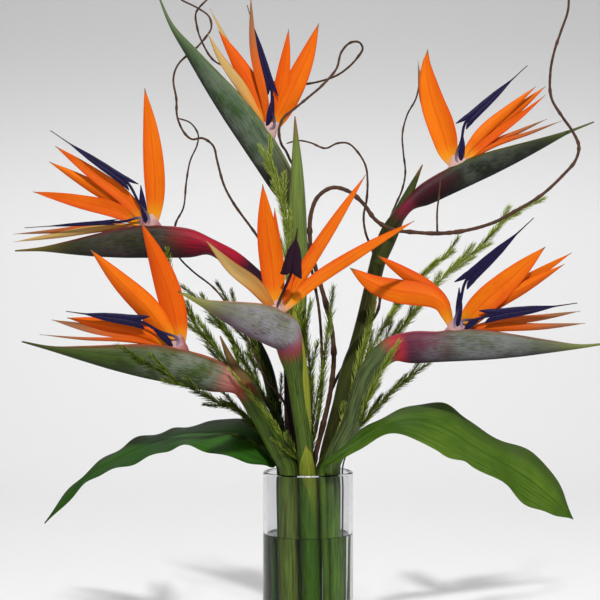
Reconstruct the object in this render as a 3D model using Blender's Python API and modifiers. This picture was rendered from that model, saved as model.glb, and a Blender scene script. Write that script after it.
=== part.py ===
"""Bird of paradise bouquet standing in a glass cylinder vase with water.

Six Strelitzia flowers, three leaves, six curly willow branches and ten sprays of
asparagus fern, all cut stems that stand in the water.  The origin is the middle of
the vase's flat bottom, +Z is up and -Y is the front.  Sizes in the tables below are
in millimetres; every mesh is made in metres.
"""
import math

import bmesh
import bpy
import numpy as np
from mathutils import Vector
from mathutils.bvhtree import BVHTree

MM = 0.001
GAP = 0.3                       # between pieces that touch

# Vase and water
VASE_HEIGHT = 230.0
VASE_RADIUS = 45.0
VASE_WALL = 4.0
VASE_FLOOR = 12.0               # thickness of the glass bottom
VASE_EDGE = 1.2                 # rounded foot edge
WATER_LEVEL = 167.0
STEM_FOOT = VASE_FLOOR + 2 * GAP
STRAIGHT_TO = (WATER_LEVEL + 3, 212.0)   # stems are straight below these heights
MOUTH = 236.0

# Flowers
STALK_SIDES = 8
STALK_SLACK = 0.5               # stems are drawn as straight between points closer than this
BLADE_ROWS = (0.0, 0.16, 0.36, 0.6, 0.82, 1.0)    # places along a sepal
BLADE_THICK = 1.0
TONGUE_THICK = 3.0
LIP = 0.18                      # how far the bract's flat lip lies under the throat / depth

# A bract in its own plane: along it / length, top edge / depth, keel / depth, half width / depth
BRACT = (
    (-0.44, -0.54, -0.96, 0.22),
    (-0.30, -0.30, -1.00, 0.25),
    (-0.14, -0.20, -1.00, 0.27),
    (-0.07, -LIP, -1.00, 0.27),
    (0.00, -LIP, -1.00, 0.27),
    (0.07, -LIP, -1.00, 0.27),
    (0.20, -0.24, -1.00, 0.26),
    (0.40, -0.40, -0.97, 0.22),
    (0.60, -0.57, -0.91, 0.16),
    (0.80, -0.72, -0.84, 0.09),
)
BRACT_TIP = 0.7                 # half thickness of a bract's tip

# Half widths along a sepal, as parts of its greatest half width
SEPAL_OUTLINE = ((0.0, 0.32), (0.15, 0.62), (0.38, 1.0), (0.62, 0.86), (0.82, 0.5), (1.0, 0.07))
SEPAL_ARCH = 0.28               # how far a sepal's edges bend back / its half width

LEAF_THICK = 1.0
LEAF_SLACK = 1.2
FERN_ANGLE = math.radians(42)   # needles lean this far off their stem
FERN_NEEDLE = 12.0
FERN_PITCH = 8.5
FERN_ROOT = 1.7                 # length of stem that a needle grows from
FERN_SLACK = 0.8
FERN_TIP = 0.45
FERN_SIDES = 4


def flower(name, throat, side, yaw, rise, length, depth, tip, stalk, sheaths, sepals, tongues,
           neckless=0):
    """One flower: where its throat is, how its bract points, and its pieces."""
    return dict(name=name, throat=throat, side=side, yaw=yaw, rise=rise, length=length,
                depth=depth, tip=tip, stalk=stalk, sheaths=sheaths, sepals=sepals,
                tongues=tongues, neckless=neckless)


# In a flower's own frame x runs along the bract to its tip, y to the front and z up in
# the bract's plane, all from the throat.  A sepal is (width, points from root to tip),
# a tongue is (width, root, barbs, tip).  Stalks and sheaths are (x, y, z, radius) in
# the vase's frame, from the foot and the mouth of the vase upwards.
FLOWERS = (
    flower(
        "upper_left", (-158, 5, 483), -1, -8, 0, 141, 39, (141, -32),
        stalk=((-15, 8, STEM_FOOT, 6.5), (-15, 8, MOUTH, 6.5),
               (-17, 8, 270, 6.5), (-19, 6, 349, 6.5), (-24, 5, 377, 6.8),
               (-33, 4, 400, 7.2), (-46, 3, 417, 7.8), (-60, 1, 430, 8.3),
               (-76, -1, 442, 9.0)),
        sheaths=(),
        sepals=(
            (21, ((-3, 0, -3), (-5, 0, 22), (-4, 0, 50), (0, 0, 90), (6, 0, 131))),
            (15, ((0, 0, -3), (30, -1, 24), (64, -1, 49), (99, 0, 74))),
            (15, ((2, 0, -3), (33, -2, 17), (68, -5, 37), (108, -8, 59))),
            (16, ((4, 0, -3), (36, -1, 8), (76, -2, 18), (123, -2, 28))),
            (6, ((6, -1, -3), (50, -3, -7), (100, -4, -12), (144, -3, -15))),
            (6, ((7, 1, -4), (50, 0, -9.5), (100, 0, -17), (141, 2, -23))),
        ),
        tongues=((14, (1, 4.8, -3), (22, 5, 35), (102, 6, 89)),
                 (5, (9, 4.8, -4), (40, 5, -4), (129, 6, -9))),
    ),
    flower(
        "top", (-34, 12, 576), -1, -10, 56, 184, 38, (184, -23),
        stalk=((-2, 24, STEM_FOOT, 7.5), (-3, 24, MOUTH, 7.5),
               (-8, 22, 310, 7.5), (-9, 20, 371, 7.6), (-10, 18, 421, 8.0),
               (-12, 16, 462, 8.6)),
        sheaths=(((-9, 19, 390, 7.4), (-10, 13, 430, 9.6), (-11, 7, 480, 10.4),
                  (-11, 0, 530, 6.6), (-13, -6, 584, 0.7)),),
        sepals=(
            (15, ((-1, 0, -3), (24, -2, 22), (49, -2, 46), (73, -1, 67))),
            (22, ((-3, 0, -3), (16, -1, 28), (38, -3, 64), (61, -6, 95))),
            (8, ((2, 0, -3), (22, 4, 5), (74, 11, 27), (120, 13, 55))),
            (18, ((5, 0, -3), (42, -1, 3), (80, -2, 6), (114, -2, 7))),
            (6, ((6, -1, -3), (50, -5, 0), (100, -7, 7), (140, -8, 12))),
            (9, ((8, 1, -4), (50, 2, -5), (90, 3, -6), (117, 4, -3))),
        ),
        tongues=((11, (0, 4.8, -3), (32, 4, 19), (117, 3, 46)),),
    ),
    flower(
        "front", (-27, -85, 399), -1, 50, 18, 132, 43, (132, -33),
        stalk=((6, -27, STEM_FOOT, 7.5), (-2, -29, MOUTH, 7.5),
               (-4, -36, 262, 7.5), (-7, -43, 285, 7.8), (-10, -50, 309, 8.2),
               (-13, -58, 331, 9.0), (-17, -68, 349, 11.5)),
        sheaths=(((0, -28, 205, 7.0), (-1, -30, 233, 8.0), (-2, -36, 250, 5.8),
                  (-3, -43, 264, 0.7)),),
        sepals=(
            (20, ((2, 0, -3), (13, -2, 30), (30, -6, 66), (48, -9, 101))),
            (11, ((0, -1, -3), (8, -3, 28), (18, -5, 56), (29, -5, 84))),
            (19, ((6, 0, -3), (34, -4, 7), (66, -9, 15), (98, -14, 26))),
            (13, ((-4, 1, -3), (-16, 20, 24), (-37, 52, 62), (-61, 92, 101))),
            (13, ((-5, 0, -3), (-12, 14, 42), (-20, 31, 90), (-27, 50, 137))),
            (6, ((-2, 0, -3), (-1, 3, 20), (1, 4, 40), (4, 3, 59))),
        ),
        tongues=((15, (6, 4.8, -3), (14, 21, 36), (46, 44, 54)),),
        neckless=2,                 # its stalk meets the bract at a sharp bend
    ),
    flower(
        "lower_left", (-125, -45, 362), -1, 8, 12, 147, 42, (147, -32),
        stalk=((-15, -22, STEM_FOOT, 9.0), (-20, -21, MOUTH, 9.0),
               (-31, -25, 256, 9.2), (-42, -31, 279, 9.4), (-52, -35, 297, 9.6),
               (-61, -37, 312, 9.8)),
        sheaths=(((-48, -33, 290, 9.0), (-60, -35, 314, 9.4), (-75, -36, 341, 4.6),
                  (-86, -37, 366, 0.7)),),
        sepals=(
            (25, ((-2, 0, -3), (10, -1, 24), (25, -1, 52), (43, 0, 80), (60, 2, 104))),
            (23, ((1, 0, -3), (32, -2, 20), (68, -4, 44), (102, -6, 68))),
            (11, ((5, 0, -3), (40, -1, -4), (76, -2, -3), (110, -2, -1))),
            (9, ((6, -1, -3), (45, -4, -7), (86, -5, -7.5), (124, -5, -6))),
            (4, ((8, 1, -4), (50, 1, -10.5), (92, 1, -17.5), (132, 1, -22))),
        ),
        tongues=((12, (2, 4.8, -3), (40, 4.5, 10), (112, 4, 5)),),
    ),
    flower(
        "upper_right", (150, 25, 545), 1, -8, 25, 149, 31, (149, -26),
        stalk=((17, 15, STEM_FOOT, 7.5), (18, 15, MOUTH, 7.5),
               (30, 17, 285, 7.8), (46, 19, 340, 8.0), (57, 20, 381, 7.8),
               (64, 21, 411, 7.6), (74, 22, 450, 8.0), (83, 21, 472, 8.0)),
        sheaths=(((30, 17, 285, 7.5), (46, 18, 340, 9.6), (59, 16, 374, 6.2),
                  (69, 12, 400, 0.7)),
                 ((70, 21, 436, 7.2), (84, 22, 470, 8.6), (101, 20, 506, 5.2),
                  (116, 18, 538, 0.7))),
        sepals=(
            (29, ((-3, 0, -3), (-1, 0, 20), (4, 0, 50), (11, 1, 82), (20, 2, 112))),
            (8, ((-4, -1, -3), (-6, -6, 30), (-3, -9, 70), (9, -10, 106))),
            (12, ((1, 0, -3), (36, -1, 12), (74, -1, 23), (108, 0, 32))),
            (13, ((3, 0, -3), (40, -3, 9), (82, -5, 19), (120, -7, 28))),
            (8, ((5, 1, -3), (40, 0, 3), (78, 0, 11), (113, 2, 20))),
            (6, ((6, -1, -3), (40, -2, -2), (76, -3, -2.5), (106, -3, -3))),
            (5, ((7, 1, -2.5), (44, 1, -4.5), (84, 1, -8.5), (118, 1, -11))),
        ),
        tongues=((11, (0, 4.8, -3), (24, 5, 29), (107, 6, 55)),),
    ),
    flower(
        "lower_right", (144, -38, 379), 1, 8, 3, 146, 37, (146, -27),
        stalk=((22, -9, STEM_FOOT, 9.0), (23, -12, MOUTH, 9.0),
               (30, -13, 254, 9.2), (41, -15, 275, 9.5), (49, -19, 300, 9.8),
               (55, -24, 320, 10.0), (65, -28, 338, 10.5)),
        sheaths=(),
        sepals=(
            (23, ((-3, 0, -3), (-7, 1, 10), (-14, 1, 21), (-29, 1, 29), (-50, 1, 34),
                  (-73, 0, 42), (-101, 0, 59))),
            (15, ((-2, 0, -3), (-6, -1, 11), (-12, -4, 25), (-28, -8, 39), (-50, -10, 54),
                  (-74, -11, 70))),
            (25, ((2, 0, -3), (24, -1, 15), (50, -2, 36), (90, -3, 69))),
            (13, ((3, 0, -3), (36, -4, 20), (74, -7, 40), (115, -9, 62))),
            (14, ((4, 0, -3), (34, -1, 14), (70, -1, 32), (107, 0, 51))),
            (8, ((6, 0, -3), (44, -3, -2), (84, -4, 1), (120, -4, 5))),
            (8, ((7, 0, -4), (44, -1, -7), (84, -2, -8), (124, -2, -7))),
        ),
        tongues=((13, (-1, 4.8, -3), (12, 5, 40), (80, 6, 97)),
                 (10, (6, 4.8, -3), (32, 5, 5), (117, 6, 13))),
    ),
)

# Two strap leaves: (near edge, middle, far edge) across the blade, from base to tip
LEAVES = {
    "leaf_left": dict(
        foot=(-24, -2), mouth=(-29, -4), stalk_radius=3.2,
        blade=(
            ((-33, -11, 235), (-32, -5, 239), (-31, 0, 242)),
            ((-46, -24, 238), (-46, -7, 254), (-46, 7, 267)),
            ((-67, -30, 244), (-68, -5, 267), (-69, 17, 282)),
            ((-96, -32, 252), (-98, -3, 268), (-99, 23, 277)),
            ((-121, -32, 258), (-124, 0, 267), (-126, 26, 272)),
            ((-142, -30, 252), (-145, 1, 261), (-147, 26, 267)),
            ((-167, -27, 242), (-170, 1, 252), (-173, 23, 261)),
            ((-190, -22, 234), (-193, 1, 241), (-195, 19, 248)),
            ((-213, -15, 225), (-216, 0, 228), (-218, 12, 232)),
            ((-234, -8, 205), (-237, 0, 207), (-241, 7, 210)),
            ((-263, -3, 178), (-263, -2, 178), (-263, -1, 179)),
        )),
    "leaf_right": dict(
        foot=(19, -27), mouth=(14, -30), stalk_radius=3.2,
        blade=(
            ((24, -43, 241), (25, -40, 247), (26, -36, 251)),
            ((40, -47, 250), (41, -40, 258), (42, -32, 265)),
            ((65, -48, 266), (66, -33, 274), (67, -16, 282)),
            ((93, -46, 271), (95, -21, 282), (96, 3, 292)),
            ((122, -42, 255), (125, -11, 278), (127, 15, 298)),
            ((143, -38, 246), (146, -8, 268), (149, 17, 291)),
            ((160, -34, 239), (163, -6, 257), (166, 17, 276)),
            ((191, -28, 221), (194, -4, 239), (197, 15, 259)),
            ((217, -20, 198), (222, -2, 221), (227, 11, 247)),
            ((240, -10, 189), (244, -1, 203), (250, 6, 220)),
            ((265, -1, 182), (265, 0, 182), (265, 1, 183)),
        )),
}
ROLLED_LEAF = ((-20, 22, STEM_FOOT, 5.5), (-22, 22, MOUTH, 5.5), (-31, 21, 274, 6.0),
               (-35, 20, 300, 6.5), (-40, 18, 325, 6.8), (-47, 16, 345, 6.5),
               (-56, 14, 366, 4.0), (-64, 12, 384, 0.8))

# Curly willow: (radius at the foot, radius at the tip, points)
WILLOW = {
    "willow_top": [(1.8, 0.9, (
        (-2, 8, STEM_FOOT), (-2, 9, MOUTH), (8, 10, 270), (14, 13, 315), (14, 14, 352),
        (11, 18, 393), (6, 22, 421), (0, 27, 452), (-7, 33, 498), (-12, 30, 532),
        (-18, 24, 543), (-22, 14, 551), (-27, 2, 558), (-29, -3, 570), (-25, -2, 582),
        (-12, 4, 594), (0, 12, 605), (14, 20, 618), (29, 24, 636), (34, 26, 653),
        (43, 28, 663), (52, 30, 664), (56, 32, 658), (50, 34, 648), (40, 36, 638),
        (27, 38, 630), (-2, 42, 623), (-29, 44, 624), (-60, 45, 633), (-80, 46, 640),
        (-97, 46, 648), (-109, 46, 667), (-114, 46, 682), (-115, 45, 697),
        (-104, 44, 710), (-95, 43, 719)))],
    "willow_left": [(1.8, 0.9, (
        (-8, 33, STEM_FOOT), (-10, 34, MOUTH), (-9, 35, 268), (-12, 37, 329),
        (-20, 38, 391), (-33, 38, 432), (-51, 37, 465), (-76, 37, 500), (-86, 38, 519),
        (-93, 38, 544), (-97, 38, 559), (-108, 39, 567), (-119, 39, 566),
        (-127, 40, 573), (-134, 40, 589), (-135, 40, 608), (-138, 40, 628),
        (-133, 40, 643), (-114, 39, 660), (-105, 38, 670), (-99, 38, 680),
        (-101, 37, 691), (-111, 36, 699), (-129, 35, 708), (-136, 35, 713)))],
    "willow_far_left": [(1.3, 0.8, (
        (-12, -3, STEM_FOOT), (-13, -3, MOUTH), (-19, -3, 269), (-25, -3, 301),
        (-40, -2, 319), (-50, -1, 339), (-63, 2, 366), (-79, 8, 393), (-95, 18, 413),
        (-118, 27, 431), (-132, 31, 446), (-136, 32, 464), (-135, 32, 479),
        (-127, 30, 495), (-124, 30, 521), (-120, 30, 543), (-113, 30, 559),
        (-112, 31, 570), (-120, 33, 582), (-133, 34, 587)))],
    "willow_right": [
        (3.0, 1.2, (
            (5, 10, STEM_FOOT), (6, 11, MOUTH), (14, 11, 270), (22, 11, 305),
            (26, 8, 341), (24, 8, 371), (17, 6, 401), (6, 1, 439), (2, -4, 461),
            (3, -6, 487), (10, -6, 504), (24, -4, 513), (40, 0, 510), (55, 2, 498),
            (68, 3, 481), (84, 4, 472), (107, 6, 469), (133, 8, 468), (159, 10, 471),
            (187, 12, 479), (208, 14, 490), (236, 16, 507), (260, 20, 529),
            (272, 24, 543), (276, 28, 558), (270, 30, 573), (260, 32, 588),
            (249, 34, 608), (248, 34, 633), (252, 34, 655), (259, 34, 676),
            (266, 34, 697), (267, 34, 716))),
        (1.7, 0.8, (
            (22, 11, 306), (25, 22, 312), (30, 31, 322), (39, 36, 337), (47, 37, 351),
            (59, 35, 370), (71, 34, 389), (74, 34, 405), (72, 34, 432), (66, 34, 452),
            (59, 33, 470), (57, 32, 487), (60, 32, 503), (61, 32, 522), (59, 32, 538),
            (51, 32, 552), (41, 32, 561), (30, 32, 561), (18, 32, 556), (2, 33, 562),
            (-10, 34, 564), (-22, 34, 561))),
        (1.1, 0.7, ((130, 8, 468), (130, 9, 490), (132, 10, 507), (134, 11, 528)))],
    "willow_upper_right": [(1.5, 0.8, (
        (14, 28, STEM_FOOT), (17, 31, MOUTH), (19, 35, 256), (31, 40, 293),
        (45, 44, 350), (62, 43, 411), (75, 41, 458), (89, 40, 496), (97, 39, 515),
        (100, 38, 532), (98, 38, 552), (97, 38, 571), (102, 38, 591), (111, 37, 608),
        (116, 36, 637)))],
}
WILLOW_SIDES = 6
WILLOW_SLACK = 0.6

# Fern sprays: (radius, height or distance where the needles start, points)
FERNS = {
    "fern_right_long": [(1.4, 60, (
        (9, 1, STEM_FOOT), (10, 2, MOUTH), (27, 2, 256), (44, 3, 286), (64, 4, 326),
        (93, 10, 371), (128, 18, 414), (147, 22, 433), (177, 26, 457), (206, 28, 487),
        (240, 30, 504)))],
    "fern_right_second": [(1.4, 60, (
        (28, 6, STEM_FOOT), (32, 7, MOUTH), (35, 7, 260), (49, 8, 300), (62, 9, 346),
        (88, 14, 391), (115, 18, 426), (141, 20, 448), (152, 20, 464)))],
    "fern_right_low": [(1.3, 50, (
        (33, -3, STEM_FOOT), (35, -2, MOUTH), (46, -2, 264), (62, -3, 288), (80, -5, 306),
        (99, -8, 323), (123, -8, 340)))],
    "fern_left_long": [(1.4, 50, (
        (-9, -8, STEM_FOOT), (-10, -8, MOUTH), (-30, -8, 262), (-50, -6, 288),
        (-65, -8, 313), (-85, -12, 343), (-108, -16, 371), (-127, -20, 405),
        (-141, -20, 436), (-150, -20, 453)))],
    "fern_left_second": [(1.4, 50, (
        (-5, -4, STEM_FOOT), (-6, -4, MOUTH), (-24, -8, 266), (-40, -8, 299),
        (-56, -6, 326), (-68, -4, 349), (-80, -3, 366), (-93, -2, 383),
        (-108, -2, 400), (-125, -2, 414)))],
    "fern_left_back": [(1.2, 80, (
        (-11, 19, STEM_FOOT), (-12, 18, MOUTH), (-24, 15, 272), (-34, 8, 310),
        (-50, 5, 341), (-68, 13, 376), (-82, 20, 401), (-92, 24, 418)))],
    "fern_left_low": [(1.3, 40, (
        (-5, -14, STEM_FOOT), (-7, -13, MOUTH), (-32, -11, 254), (-46, -12, 270),
        (-65, -20, 290), (-89, -40, 302), (-112, -60, 316), (-141, -66, 333),
        (-161, -70, 345), (-180, -74, 357)))],
    "fern_centre": [(1.3, 60, (
        (4, -7, STEM_FOOT), (4, -7, MOUTH), (5, -8, 262), (3, -10, 302), (1, -10, 341),
        (-2, -10, 371), (3, -10, 399)))],
    "fern_top": [(1.4, 150, (
        (1, -13, STEM_FOOT), (0, -12, MOUTH), (-8, -10, 302), (-14, -8, 371),
        (-19, -8, 421), (-21, -8, 461), (-23, -8, 491), (-29, -8, 513),
        (-37, -8, 539), (-38, -8, 562)))],
    "fern_mouth": [(1.2, 14, (
        (-3, -20, STEM_FOOT), (-5, -20, MOUTH), (-14, -31, 252), (-21, -44, 278)))],
}

COLOURS = {                     # base colour, roughness
    "glass": ((0.86, 0.93, 0.92), 0.06),
    "water": ((0.72, 0.83, 0.80), 0.05),
    "stalk": ((0.16, 0.27, 0.11), 0.55),
    "sepal": ((0.95, 0.30, 0.02), 0.45),
    "tongue": ((0.06, 0.03, 0.20), 0.40),
    "leaf": ((0.07, 0.19, 0.04), 0.35),
    "willow": ((0.12, 0.06, 0.04), 0.65),
    "fern": ((0.17, 0.32, 0.07), 0.50),
}


# ---------------------------------------------------------------- curves
def smooth(points, per_span):
    """Points on one smooth curve (a Hermite spline) through the given points."""
    knots = np.array(points, float)
    chord = np.sqrt(np.linalg.norm(np.diff(knots[:, :3], axis=0), axis=1))
    at_knots = np.concatenate([[0.0], np.cumsum(chord)])
    slopes = np.gradient(knots, at_knots, axis=0)
    spans = len(knots) - 1
    where = np.arange(spans * per_span + 1) / per_span
    first = np.minimum(where.astype(int), spans - 1)
    t = (where - first)[:, None]
    width = np.diff(at_knots)[first][:, None]
    return ((2 * t**3 - 3 * t**2 + 1) * knots[first]
            + (t**3 - 2 * t**2 + t) * width * slopes[first]
            + (3 * t**2 - 2 * t**3) * knots[first + 1]
            + (t**3 - t**2) * width * slopes[first + 1])


def standing(points):
    """A route whose stretch from foot to mouth is straight, so that it fits a round hole."""
    foot = np.array(points[0], float)
    mouth = np.array(points[1], float)
    heights = [(level - foot[2]) / (mouth[2] - foot[2]) for level in STRAIGHT_TO]
    return [foot] + [foot + (mouth - foot) * part for part in heights] + list(points[1:])


def thin_out(rows, slack):
    """Only the rows that a straight line between their neighbours would miss by `slack`."""
    rows = np.asarray(rows, float)
    keep = {0, len(rows) - 1}
    spans = [(0, len(rows) - 1)]
    while spans:
        first, last = spans.pop()
        if last - first < 2:
            continue
        line = rows[last] - rows[first]
        apart = rows[first + 1:last] - rows[first]
        part = np.clip(apart[:, :3] @ line[:3] / (line[:3] @ line[:3]), 0, 1)
        miss = np.linalg.norm(apart - part[:, None] * line, axis=1)
        worst = int(np.argmax(miss))
        if miss[worst] > slack:
            middle = first + 1 + worst
            keep.add(middle)
            spans += [(first, middle), (middle, last)]
    return rows[sorted(keep)]


def distances(route):
    """How far along a route each of its points lies."""
    return np.concatenate([[0.0], np.cumsum(np.linalg.norm(np.diff(route, axis=0), axis=1))])


def points_at(route, wanted):
    """Points at wanted distances along a route."""
    along = distances(route)
    return np.stack([np.interp(wanted, along, route[:, axis]) for axis in range(3)], axis=1)


def unit(vectors):
    return vectors / np.linalg.norm(vectors, axis=-1, keepdims=True)


def tangents(route):
    return unit(np.gradient(route, axis=0))


# ---------------------------------------------------------------- meshes
def material(kind):
    found = bpy.data.materials.get(kind)
    if found:
        return found
    colour, roughness = COLOURS[kind]
    made = bpy.data.materials.new(kind)
    made.use_nodes = True
    shader = made.node_tree.nodes["Principled BSDF"]
    shader.inputs["Base Color"].default_value = (*colour, 1.0)
    shader.inputs["Roughness"].default_value = roughness
    if kind in ("glass", "water"):
        shader.inputs["Alpha"].default_value = 0.4
    return made


def new_object(name, mesh, kind, collection):
    made = bpy.data.objects.new(name, mesh)
    mesh.materials.clear()
    mesh.materials.append(material(kind))
    collection.objects.link(made)
    return made


def tidy(mesh, merge=0.0):
    """Weld what lies together and turn every face outwards."""
    editable = bmesh.new()
    editable.from_mesh(mesh)
    if merge:
        bmesh.ops.remove_doubles(editable, verts=editable.verts, dist=merge)
    bmesh.ops.recalc_face_normals(editable, faces=editable.faces)
    editable.to_mesh(mesh)
    editable.free()
    mesh.shade_smooth()
    mesh.set_sharp_from_angle(angle=math.radians(50))


def evaluated(thing, collection):
    """Replace an object by a plain mesh of how it looks with its modifiers."""
    graph = bpy.context.evaluated_depsgraph_get()
    mesh = bpy.data.meshes.new_from_object(thing.evaluated_get(graph))
    name = thing.name
    matrix = thing.matrix_world.copy()
    slot = thing.active_material
    bpy.data.objects.remove(thing)
    made = bpy.data.objects.new(name, mesh)
    made.matrix_world = matrix
    mesh.materials.clear()
    mesh.materials.append(slot)
    collection.objects.link(made)
    return made


def loft(name, rings, kind, collection):
    """One closed skin over a row of unlike rings, each end drawn to its own middle."""
    rings = np.asarray(rings) * MM
    rows, sides = rings.shape[:2]
    ends = rings[[0, -1]].mean(axis=1)
    points = np.concatenate([rings.reshape(-1, 3), ends])
    faces = []
    for row in range(rows - 1):
        for side in range(sides):
            ahead = (side + 1) % sides
            faces.append((row * sides + side, row * sides + ahead,
                          (row + 1) * sides + ahead, (row + 1) * sides + side))
    for side in range(sides):
        ahead = (side + 1) % sides
        faces.append((side, ahead, rows * sides))
        faces.append(((rows - 1) * sides + side, (rows - 1) * sides + ahead, rows * sides + 1))
    mesh = bpy.data.meshes.new(name)
    mesh.from_pydata(points.tolist(), [], faces)
    made = new_object(name, mesh, kind, collection)
    tidy(mesh)
    return made


def tube(name, route, radii, sides, kind, collection):
    """A round stem: a bevelled curve with filled caps, made a mesh and welded."""
    curve = bpy.data.curves.new(name, "CURVE")
    curve.dimensions = "3D"
    curve.bevel_depth = MM
    curve.bevel_resolution = sides // 2 - 2
    curve.use_fill_caps = True
    spline = curve.splines.new("POLY")
    spline.points.add(len(route) - 1)
    spline.points.foreach_set("co", np.column_stack([route * MM, np.ones(len(route))]).ravel())
    spline.points.foreach_set("radius", np.asarray(radii, float))
    made = bpy.data.objects.new(name, curve)
    collection.objects.link(made)
    curve.materials.append(material(kind))
    made = evaluated(made, collection)
    tidy(made.data, merge=0.00001)
    return made


def join(base, others, collection):
    """One Boolean union of a piece with all that grows from it."""
    limbs = bpy.data.collections.new("limbs of " + base.name)
    bpy.context.scene.collection.children.link(limbs)
    for limb in others:
        collection.objects.unlink(limb)
        limbs.objects.link(limb)
    union = base.modifiers.new("union", "BOOLEAN")
    union.operation = "UNION"
    union.operand_type = "COLLECTION"
    union.collection = limbs
    joined = evaluated(base, collection)
    for limb in list(limbs.objects):
        bpy.data.objects.remove(limb)
    bpy.data.collections.remove(limbs)
    tidy(joined.data, merge=0.000002)
    return joined


# ---------------------------------------------------------------- flowers
def axes(plant):
    """The flower's own axes in the vase's frame: along the bract, to the front, up."""
    yaw = math.radians(plant["yaw"])
    rise = math.radians(plant["rise"])
    level = np.array([plant["side"] * math.cos(yaw), -math.sin(yaw), 0.0])
    along = level * math.cos(rise) + np.array([0, 0, math.sin(rise)])
    up = -level * math.sin(rise) + np.array([0, 0, math.cos(rise)])
    front = np.cross(up, along) * -plant["side"]
    return np.stack([along, front, up])


def placed(plant, points):
    return np.asarray(plant["throat"], float) + np.asarray(points, float) @ axes(plant)


def bract_rows(plant):
    """Middle line, half depth and half width of the bract, from its neck to its tip."""
    length = plant["length"]
    depth = plant["depth"]
    rows = []
    for along, top, keel, half in BRACT[plant["neckless"]:]:
        middle = (along * length, 0, (top + keel) / 2 * depth)
        rows.append((*placed(plant, middle), (top - keel) / 2 * depth, half * depth))
    tip_x, tip_z = plant["tip"]
    rows.append((*placed(plant, (tip_x, 0, tip_z)), BRACT_TIP, BRACT_TIP))
    return rows


def oval_rings(rows, across, sides):
    """Oval rings square to a route, flat side up, their width along `across`."""
    rows = np.asarray(rows)
    centre = rows[:, :3]
    ahead = tangents(centre)
    wide = unit(across - (ahead @ across)[:, None] * ahead)
    deep = np.cross(wide, ahead)
    turn = (np.arange(sides) + 0.5) * 2 * math.pi / sides
    stretch = 1 / math.cos(math.pi / sides)
    return (centre[:, None]
            + np.cos(turn)[None, :, None] * stretch * rows[:, 3, None, None] * deep[:, None]
            + np.sin(turn)[None, :, None] * stretch * rows[:, 4, None, None] * wide[:, None])


def stalk_and_bract(plant, collection):
    across = axes(plant)[1]
    stalk = [(*point[:3], point[3], point[3]) for point in plant["stalk"]]
    rows = thin_out(smooth(standing(stalk) + bract_rows(plant), 4), STALK_SLACK)
    name = "stalk_" + plant["name"]
    body = loft(name, oval_rings(rows, across, STALK_SIDES), "stalk", collection)
    sheaths = []
    for number, points in enumerate(plant["sheaths"]):
        sheath = thin_out(smooth([(*p[:3], p[3], p[3]) for p in points], 4), STALK_SLACK)
        rings = oval_rings(sheath, across, STALK_SIDES)
        sheaths.append(loft(f"{name} sheath {number}", rings, "stalk", collection))
    return join(body, sheaths, collection) if sheaths else body


def blade(name, plant, width, points, kind, collection):
    """A thin lance-shaped sepal: an open surface of triangles, made solid."""
    spine = smooth(points, 4)
    spine = points_at(spine, distances(spine)[-1] * np.array(BLADE_ROWS))
    ahead = tangents(spine)
    front = np.array([0.0, 1.0, 0.0])
    across = unit(np.cross(front, ahead))
    back = -np.cross(ahead, across)
    outline = np.array(SEPAL_OUTLINE)
    half = np.interp(BLADE_ROWS, outline[:, 0], outline[:, 1]) * width / 2
    edge = across * half[:, None]
    bend = back * (half * SEPAL_ARCH)[:, None]
    grid = np.stack([spine - edge + bend, spine, spine + edge + bend], axis=1)
    return sheet(name, placed(plant, grid), BLADE_THICK, kind, collection)


def sheet(name, grid, thick, kind, collection):
    """A grid of points as triangles with a Solidify modifier, applied."""
    rows, columns = grid.shape[:2]
    faces = []
    for row in range(rows - 1):
        for column in range(columns - 1):
            corner = row * columns + column
            faces.append((corner, corner + 1, corner + columns + 1))
            faces.append((corner, corner + columns + 1, corner + columns))
    mesh = bpy.data.meshes.new(name)
    mesh.from_pydata((grid.reshape(-1, 3) * MM).tolist(), [], faces)
    made = new_object(name, mesh, kind, collection)
    solid = made.modifiers.new("thickness", "SOLIDIFY")
    solid.thickness = thick * MM
    solid.offset = 0
    made = evaluated(made, collection)
    tidy(made.data)
    return made


def sepals(plant, collection):
    """All orange sepals of a flower, grown from one short body on the bract's lip."""
    name = "sepals_" + plant["name"]
    low = -LIP * plant["depth"] + GAP
    rings = []
    for height, long, wide in ((low, 10.0, 3.0), (0.0, 8.5, 2.8), (5.0, 5.0, 2.0)):
        turn = (np.arange(8) + 0.5) * math.pi / 4
        ring = np.column_stack([long * np.cos(turn), wide * np.sin(turn), np.full(8, height)])
        rings.append(placed(plant, ring))
    base = loft(name, rings, "sepal", collection)
    blades = [blade(f"{name} {number}", plant, width, points, "sepal", collection)
              for number, (width, points) in enumerate(plant["sepals"])]
    return join(base, blades, collection)


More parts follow.
